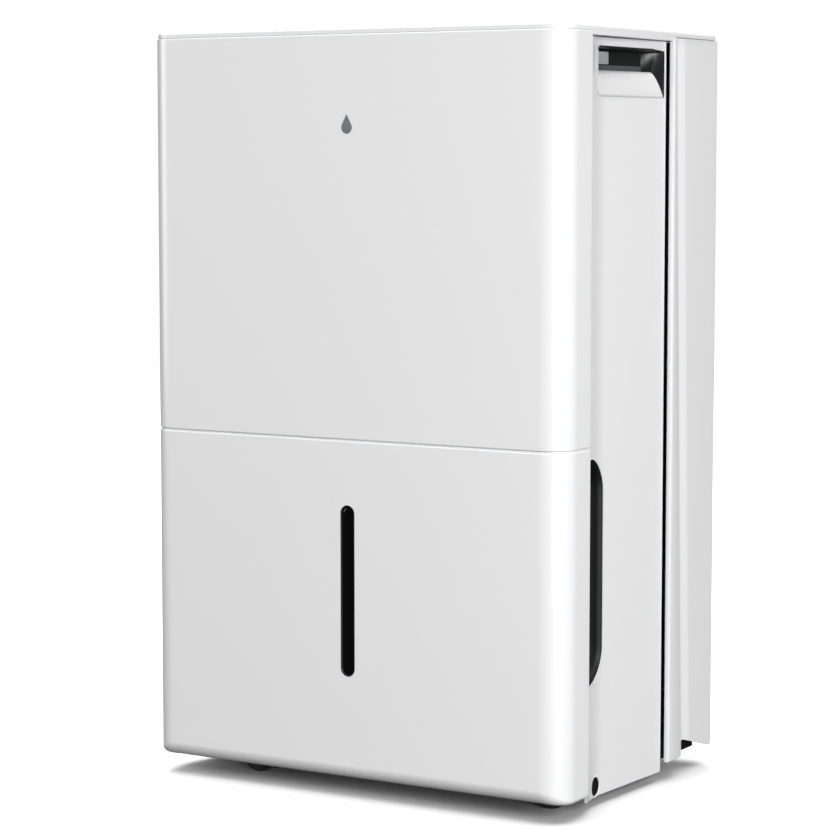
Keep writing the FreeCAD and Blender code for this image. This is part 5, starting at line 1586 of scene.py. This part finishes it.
# ---------------------------------------------------------------- rear
@dataclass
class RearCover:
    """Back moulding: swept ridges on both sides, intake opening, drain and lead holes."""

    wall: float = 3.0
    corner: float = 6.0
    edge: float = 1.2
    arch: tuple[Flat, ...] = ((30.5, 11.8), (34.0, 13.2), (81.0, 0.2))
    rise: float = 2.0
    dip: float = 2.2
    crest: Flat = (28.0, 8.0)
    valley: Flat = (46.0, 24.0)
    sweep: float = 0.85
    gland: float = 8.1
    screw: float = 4.8
    corner_steps: int = 10
    levels: int = 22

    def __post_init__(self) -> None:
        """Reads the cover's place from the frame."""
        self.low, self.high = limits("rear_cover")
        self.flat_x = self.high.x - self.rise

    def ridge(self, z: float) -> Flat:
        """Finds where the side's band and the dip behind it end.

        Args:
            z: height.

        Returns:
            Both distances behind the cover's front edge.
        """
        share = ((z - self.low.z) / (self.high.z - self.low.z)) ** self.sweep
        crest = self.crest[0] + (self.crest[1] - self.crest[0]) * share
        return crest, self.valley[0] + (self.valley[1] - self.valley[0]) * share

    def rise_at(self, back: float, z: float) -> float:
        """How far the side stands out: a full band, then a dip.

        Args:
            back: distance behind the cover's front edge.
            z: height.

        Returns:
            The rise over the flat side.
        """
        crest, valley = self.ridge(z)
        if back <= crest:
            t = back / crest
            return self.rise * (1 - t ** 2) + 0.2 * t
        t = (back - crest) / (valley - crest)
        if t >= 1:
            return 0.0
        return -self.dip * math.sin(math.pi * t ** 0.55) * (1 - t) ** 0.4

    def ring(self, z: float, shrink: float) -> list[Point]:
        """Closed plan loop of the wall at a height.

        Args:
            z: height.
            shrink: how far the loop is drawn into the wall.

        Returns:
            The loop's points, once round the outside and back along the inside.
        """
        y0, y1 = self.low.y, self.high.y
        crest, valley = self.ridge(z)
        backs = [0.0, 0.35, self.edge] + [self.edge + (crest - self.edge) * i / 7 for i in range(1, 8)]
        backs += [crest + 0.15 + (valley - crest - 0.15) * i / 8 for i in range(0, 9)]
        rounds = {0: self.edge, 1: 0.4, 2: 0.0}
        right: list[Flat] = []
        inside: list[Flat] = []
        for i, back in enumerate(backs):
            drop = rounds.get(i, 0.0)
            rise = self.rise_at(back, z)
            right.append((self.flat_x + rise - drop - shrink, y0 + back))
            inside.append((self.flat_x + min(0.0, rise) - self.wall + drop * 0.8 + shrink, y0 + back))
        r = self.corner
        for a in range(self.corner_steps + 1):
            t = math.radians(90 * a / self.corner_steps)
            right.append((self.flat_x - r + (r - shrink) * math.cos(t), y1 - r + (r - shrink) * math.sin(t)))
            q = r - self.wall + shrink
            inside.append((self.flat_x - r + q * math.cos(t), y1 - r + q * math.sin(t)))
        outer = right + [(-x, y) for x, y in reversed(right)]
        inner = inside + [(-x, y) for x, y in reversed(inside)]
        return [(x, y, z) for x, y in outer + list(reversed(inner))]

    def build_shell(self) -> Thing:
        """Lofts the wall and cuts its openings.

        Returns:
            The piece.
        """
        rims = []
        for turn in (0, 30, 60, 90):
            a = math.radians(turn)
            rims.append((self.edge * (1 - math.cos(a)), self.edge * (1 - math.sin(a))))
        span = self.high.z - self.low.z - 2 * self.edge
        heights = [(self.low.z + rise, shrink) for rise, shrink in rims]
        heights += [(self.low.z + self.edge + span * i / self.levels, 0.0) for i in range(1, self.levels)]
        heights += [(self.high.z - rise, shrink) for rise, shrink in reversed(rims)]
        walls = Mesh().loft([self.ring(z, shrink) for z, shrink in heights])
        shell = walls.object("rear_cover_shell", Finish.WHITE_ABS)
        low, high = limits("filter_grille")
        intake = rounded_rect((low.x - 0.4, high.x + 0.4), (low.z - 0.4, high.z + 0.4), 10.0)
        arch = [(self.low.y + back, self.low.z + up) for back, up in self.arch]
        arch += [(arch[-1][0], self.low.z - 5), (arch[0][0], self.low.z - 5)]
        low, high = limits("drain_cup")
        cup = (high.x - low.x) / 2
        gland = middle("cord_gland")
        shapes = [intake, hole(((low.x + high.x) / 2, low.z + cup), cup + 0.4, 60)]
        shapes += [hole((gland.x, gland.z), self.gland, 36)]
        shapes += [hole(spot, self.screw, 36) for spot in self.screws()]
        cuts = [prism(shape, Axis.Y, self.high.y - self.wall - 6, self.high.y + 6) for shape in shapes]
        cuts += [prism(arch, Axis.X, side * self.flat_x - 9, side * self.flat_x + 9) for side in (1, -1)]
        return carve(shell, cuts)

    def screws(self) -> list[Flat]:
        """Centres of the six cover screws.

        Returns:
            Their (x, z) places.
        """
        low, high = limits("rear_screws")
        x = (high.x - low.x) / 2 - 4.5
        middle = limits("filter_grille")[0].z - 4.0
        return [(side * x, z) for z in (low.z + 4.5, middle, high.z - 4.5) for side in (-1, 1)]

    def dress(self) -> None:
        """Builds and fastens the back."""
        shell = settle(self.build_shell(), "cabinet", "white_plastic", "rear_cover")
        even_normals(shell)


# ---------------------------------------------------------------- casters
@dataclass
class Casters:
    """Twin wheels with crowned tyres, dished hubs and a cap on the axle."""

    wheel_wide: float = 10.0
    gap: float = 8.0
    crown: float = 2.6
    hub: float = 13.5
    steps: int = 56

    def build(self, place: str) -> Thing:
        """One wheel pair, turned to its caster's rest direction.

        Args:
            place: the caster's corner.

        Returns:
            The piece.
        """
        joint = next(j for j in frame["joints"] if j["name"] == f"{place}_wheel_roll")
        axis, up = Vector(joint["axis"]).normalized(), Vector((0, 0, 1))
        centre = Vector(joint["pos_m"]) / MM
        side = up.cross(axis)
        low, high = limits(f"{place}_caster_wheels")
        near, c = self.gap / 2, self.crown
        far, shoulder = near + self.wheel_wide, (high.z - low.z) / 2 - c
        profile = [(0.0, far - 0.6), (3.6, far - 0.6), (4.4, far - 1.2), (5.0, far - 2.6)]
        profile += [(self.hub - 1.6, far - 2.2), (self.hub - 0.6, far - 0.4), (self.hub + 0.4, far)]
        for i in range(13):
            t = math.radians(15 * i)
            profile.append((shoulder + c * math.sin(t), (far - c if i < 7 else near + c) + c * math.cos(t)))
        profile += [(6.0, near), (2.4, near), (2.4, 0.0), (0.0, 0.0)]
        mesh = Mesh()
        for way in (1.0, -1.0):
            rings = []
            for i in range(self.steps):
                a = 2 * math.pi * i / self.steps
                spoke = side * math.cos(a) + up * math.sin(a)
                ring = [centre + spoke * r + axis * (h * way) for r, h in profile]
                rings.append([(p.x, p.y, p.z) for p in ring])
            mesh.revolve(rings)
        return mesh.object(f"{place}_wheel_pair_tyres", Finish.TYRE)

    def dress(self) -> None:
        """Builds and fastens the four pairs."""
        for place in CORNERS:
            settle(self.build(place), f"{place}_wheel_pair", "tyre", f"{place}_caster_wheels")


# ---------------------------------------------------------------- pieces kept from the frame
@dataclass(frozen=True)
class Kept:
    """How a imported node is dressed: its finish and the width of its edge rounding in millimetres."""

    finish: Finish
    edge: float = 0.0


@dataclass
class Interior:
    """Bucket, base, bay, air path and cooling circuit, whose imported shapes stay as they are."""

    weld: float = 0.002

    def kept(self) -> dict[str, Kept]:
        """Lists each kept node's finish and edge.

        Returns:
            Finish and edge by node name.
        """
        nodes = {
            "bucket_tank": Kept(Finish.TANK_PP, 0.8),
            "bucket_lid": Kept(Finish.TANK_PP, 0.6),
            "bucket_handle": Kept(Finish.LINER_GREY, 0.6),
            "bucket_float": Kept(Finish.FLOAT_FOAM, 1.0),
            "bucket_switch": Kept(Finish.BLACK_PP, 0.4),
            "switch_lever": Kept(Finish.LINER_GREY, 0.3),
            # black strips behind the waist gap: painted shade, a dark sheet where the gap holds only shadow
            "gap_strips": Kept(Finish.BLACK_PP),
            "base": Kept(Finish.BLACK_PP, 0.6),
            "bucket_bay": Kept(Finish.LINER_GREY, 0.4),
            "bulkhead": Kept(Finish.LINER_GREY, 0.3),
            "control_board": Kept(Finish.BOARD_GREEN, 0.1),
            "rear_screws": Kept(Finish.ZINC, 0.2),
            "filter_grille": Kept(Finish.WHITE_ABS, 0.4),
            "filter_mesh": Kept(Finish.DUST_NET),
            "drain_cup": Kept(Finish.LINER_GREY, 0.4),
            "drain_cap": Kept(Finish.BLACK_PP, 0.6),
            "cord_gland": Kept(Finish.RUBBER, 0.4),
            "fan_duct": Kept(Finish.LINER_GREY, 0.3),
            "fan_wheel": Kept(Finish.BLACK_PP, 0.15),
            "fan_shaft": Kept(Finish.SHAFT_STEEL, 0.3),
            "fan_motor": Kept(Finish.ZINC, 0.6),
            "evaporator": Kept(Finish.FINS),
            "condenser": Kept(Finish.FINS),
            "drain_pan": Kept(Finish.LINER_GREY, 0.3),
            "compressor": Kept(Finish.CAN_BLACK, 0.8),
            "compressor_feet": Kept(Finish.RUBBER, 0.8),
            "suction_accumulator": Kept(Finish.CAN_BLACK, 0.8),
            "discharge_pipe": Kept(Finish.COPPER),
            "suction_pipe": Kept(Finish.COPPER),
            "capillary_pipe": Kept(Finish.COPPER),
        }
        return nodes | {f"{place}_caster_fork": Kept(Finish.BLACK_PP, 0.5) for place in CORNERS}

    def dress(self) -> None:
        """Gives each kept node its finish and rounds its moulded edges."""
        for name, how in self.kept().items():
            thing = frame["nodes"][name]
            thing.data.materials.clear()
            thing.data.materials.append(how.finish.material())
            if how.edge:
                weld = thing.modifiers.new("joined_facets", "WELD")
                weld.merge_threshold = self.weld * MM
                round_edges(thing, how.edge)
            LOG.info("node %s is %s", name, how.finish.value.name)


# ---------------------------------------------------------------- studio
@dataclass(frozen=True)
class SoftBox:
    """One lamp: degrees from the front towards the right, height, distance and size in mm, and watts."""

    name: str
    azimuth: float
    height: float
    far: float
    size: Flat
    power: float


@dataclass
class Studio:
    """Plain pale floor, white surround, soft lamps and the camera."""

    azimuth: float = 31.15
    elevation: float = 5.4
    distance: float = 2301.3
    lens: float = 118.071325
    aim_right: float = -18.5
    aim_down: float = 8.49
    surround_low: float = 0.1
    surround_high: float = 1.05
    white_from: float = 0.978
    white_to: float = 0.985
    floor_half: float = 60000.0
    lamps_aim: float = 300.0
    overhead_strength: float = 3.1
    overhead_spread: float = 70.0
    lamps: tuple[SoftBox, ...] = (
        SoftBox("key", 54.0, 800.0, 3000.0, (1300.0, 1700.0), 84.0),
        SoftBox("fill", -64.0, 900.0, 2600.0, (1200.0, 1600.0), 27.0),
        SoftBox("back", 215.0, 2200.0, 2600.0, (1600.0, 1200.0), 75.0),
    )

    def aim(self) -> Vector:
        """Point that the camera looks at, near the middle of the cabinet.

        Returns:
            The point, in metres.
        """
        low, high = CAD_BOX
        height = (low[2] + high[2]) / 2 - self.aim_down * MM
        a = math.radians(self.azimuth)
        return Vector((math.cos(a), math.sin(a), 0.0)) * self.aim_right * MM + Vector((0.0, 0.0, height))

    def build_camera(self) -> None:
        """Places the camera."""
        a, e = math.radians(self.azimuth), math.radians(self.elevation)
        back = Vector((math.sin(a) * math.cos(e), -math.cos(a) * math.cos(e), math.sin(e)))
        data = bpy.data.cameras.new("camera")
        data.sensor_width = 36.0
        data.lens = self.lens
        data.clip_end = 50.0
        camera = bpy.data.objects.new("camera", data)
        camera.location = self.aim() + back * self.distance * MM
        camera.rotation_euler = back.to_track_quat("Z", "Y").to_euler()
        bpy.context.scene.collection.objects.link(camera)
        bpy.context.scene.camera = camera

    def build_floor(self) -> None:
        """Pale matt floor."""
        h = self.floor_half
        sheet = Mesh().add([(-h, -h, 0), (h, -h, 0), (h, h, 0), (-h, h, 0)], [(0, 1, 2, 3)])
        floor = sheet.object("studio_floor", Finish.FLOOR)
        floor.visible_diffuse = False
        floor.visible_glossy = False

    def build_world(self) -> None:
        """Surround: white straight behind the cabinet and dim everywhere else."""
        world = bpy.data.worlds.new("studio")
        world.use_nodes = True
        tree = world.node_tree
        tree.nodes.clear()
        way = add_node(tree, "ShaderNodeTexCoord").outputs["Generated"]
        a = math.radians(self.azimuth)
        far = (-math.sin(a), math.cos(a), 0.0)
        toward = add_node(tree, "ShaderNodeVectorMath", {"operation": "DOT_PRODUCT"}, in_0=way, in_1=far)
        level = add_node(
            tree, "ShaderNodeMapRange", {"interpolation_type": "SMOOTHSTEP"}, Value=toward.outputs["Value"],
            From_Min=self.white_from, From_Max=self.white_to,
            To_Min=self.surround_low, To_Max=self.surround_high,
        )
        light = add_node(
            tree, "ShaderNodeBackground", None, Color=(1.0, 1.0, 1.0, 1.0), Strength=level.outputs["Result"]
        )
        add_node(tree, "ShaderNodeOutputWorld", None, Surface=light.outputs[0])
        bpy.context.scene.world = world

    def lamp(self, box: SoftBox) -> None:
        """Adds one soft box aimed at the cabinet.

        Args:
            box: where it stands, its size and its power.
        """
        data = bpy.data.lights.new(box.name, "AREA")
        data.shape = "RECTANGLE"
        data.size, data.size_y = box.size[0] * MM, box.size[1] * MM
        data.energy = box.power
        lamp = bpy.data.objects.new(box.name, data)
        a = math.radians(box.azimuth)
        lamp.location = Vector((math.sin(a) * box.far, -math.cos(a) * box.far, box.height)) * MM
        aim = Vector((0, 0, self.lamps_aim * MM)) - lamp.location
        lamp.rotation_euler = aim.to_track_quat("-Z", "Y").to_euler()
        bpy.context.scene.collection.objects.link(lamp)

    def overhead(self) -> None:
        """Adds a broad soft light straight down, which whitens the floor."""
        data = bpy.data.lights.new("overhead", "SUN")
        data.energy = self.overhead_strength
        data.angle = math.radians(self.overhead_spread)
        lamp = bpy.data.objects.new("overhead", data)
        lamp.location = (0.0, 0.0, 3.0)
        bpy.context.scene.collection.objects.link(lamp)

    def build(self) -> None:
        """Sets up the whole studio."""
        bpy.context.scene.view_settings.view_transform = "Standard"
        self.build_world()
        self.build_floor()
        self.build_camera()
        self.overhead()
        for box in self.lamps:
            self.lamp(box)
        LOG.info("studio ready")


def main() -> None:
    """Builds the dehumidifier's looks and the studio."""
    logging.basicConfig(level=logging.INFO, format="%(name)s: %(message)s")
    Studio().build()
    FrontPanels().dress()
    SideWall(1).dress()
    SideWall(-1).dress()
    TopCover().dress()
    RearCover().dress()
    Casters().dress()
    Interior().dress()


if __name__ == "__main__":
    main()
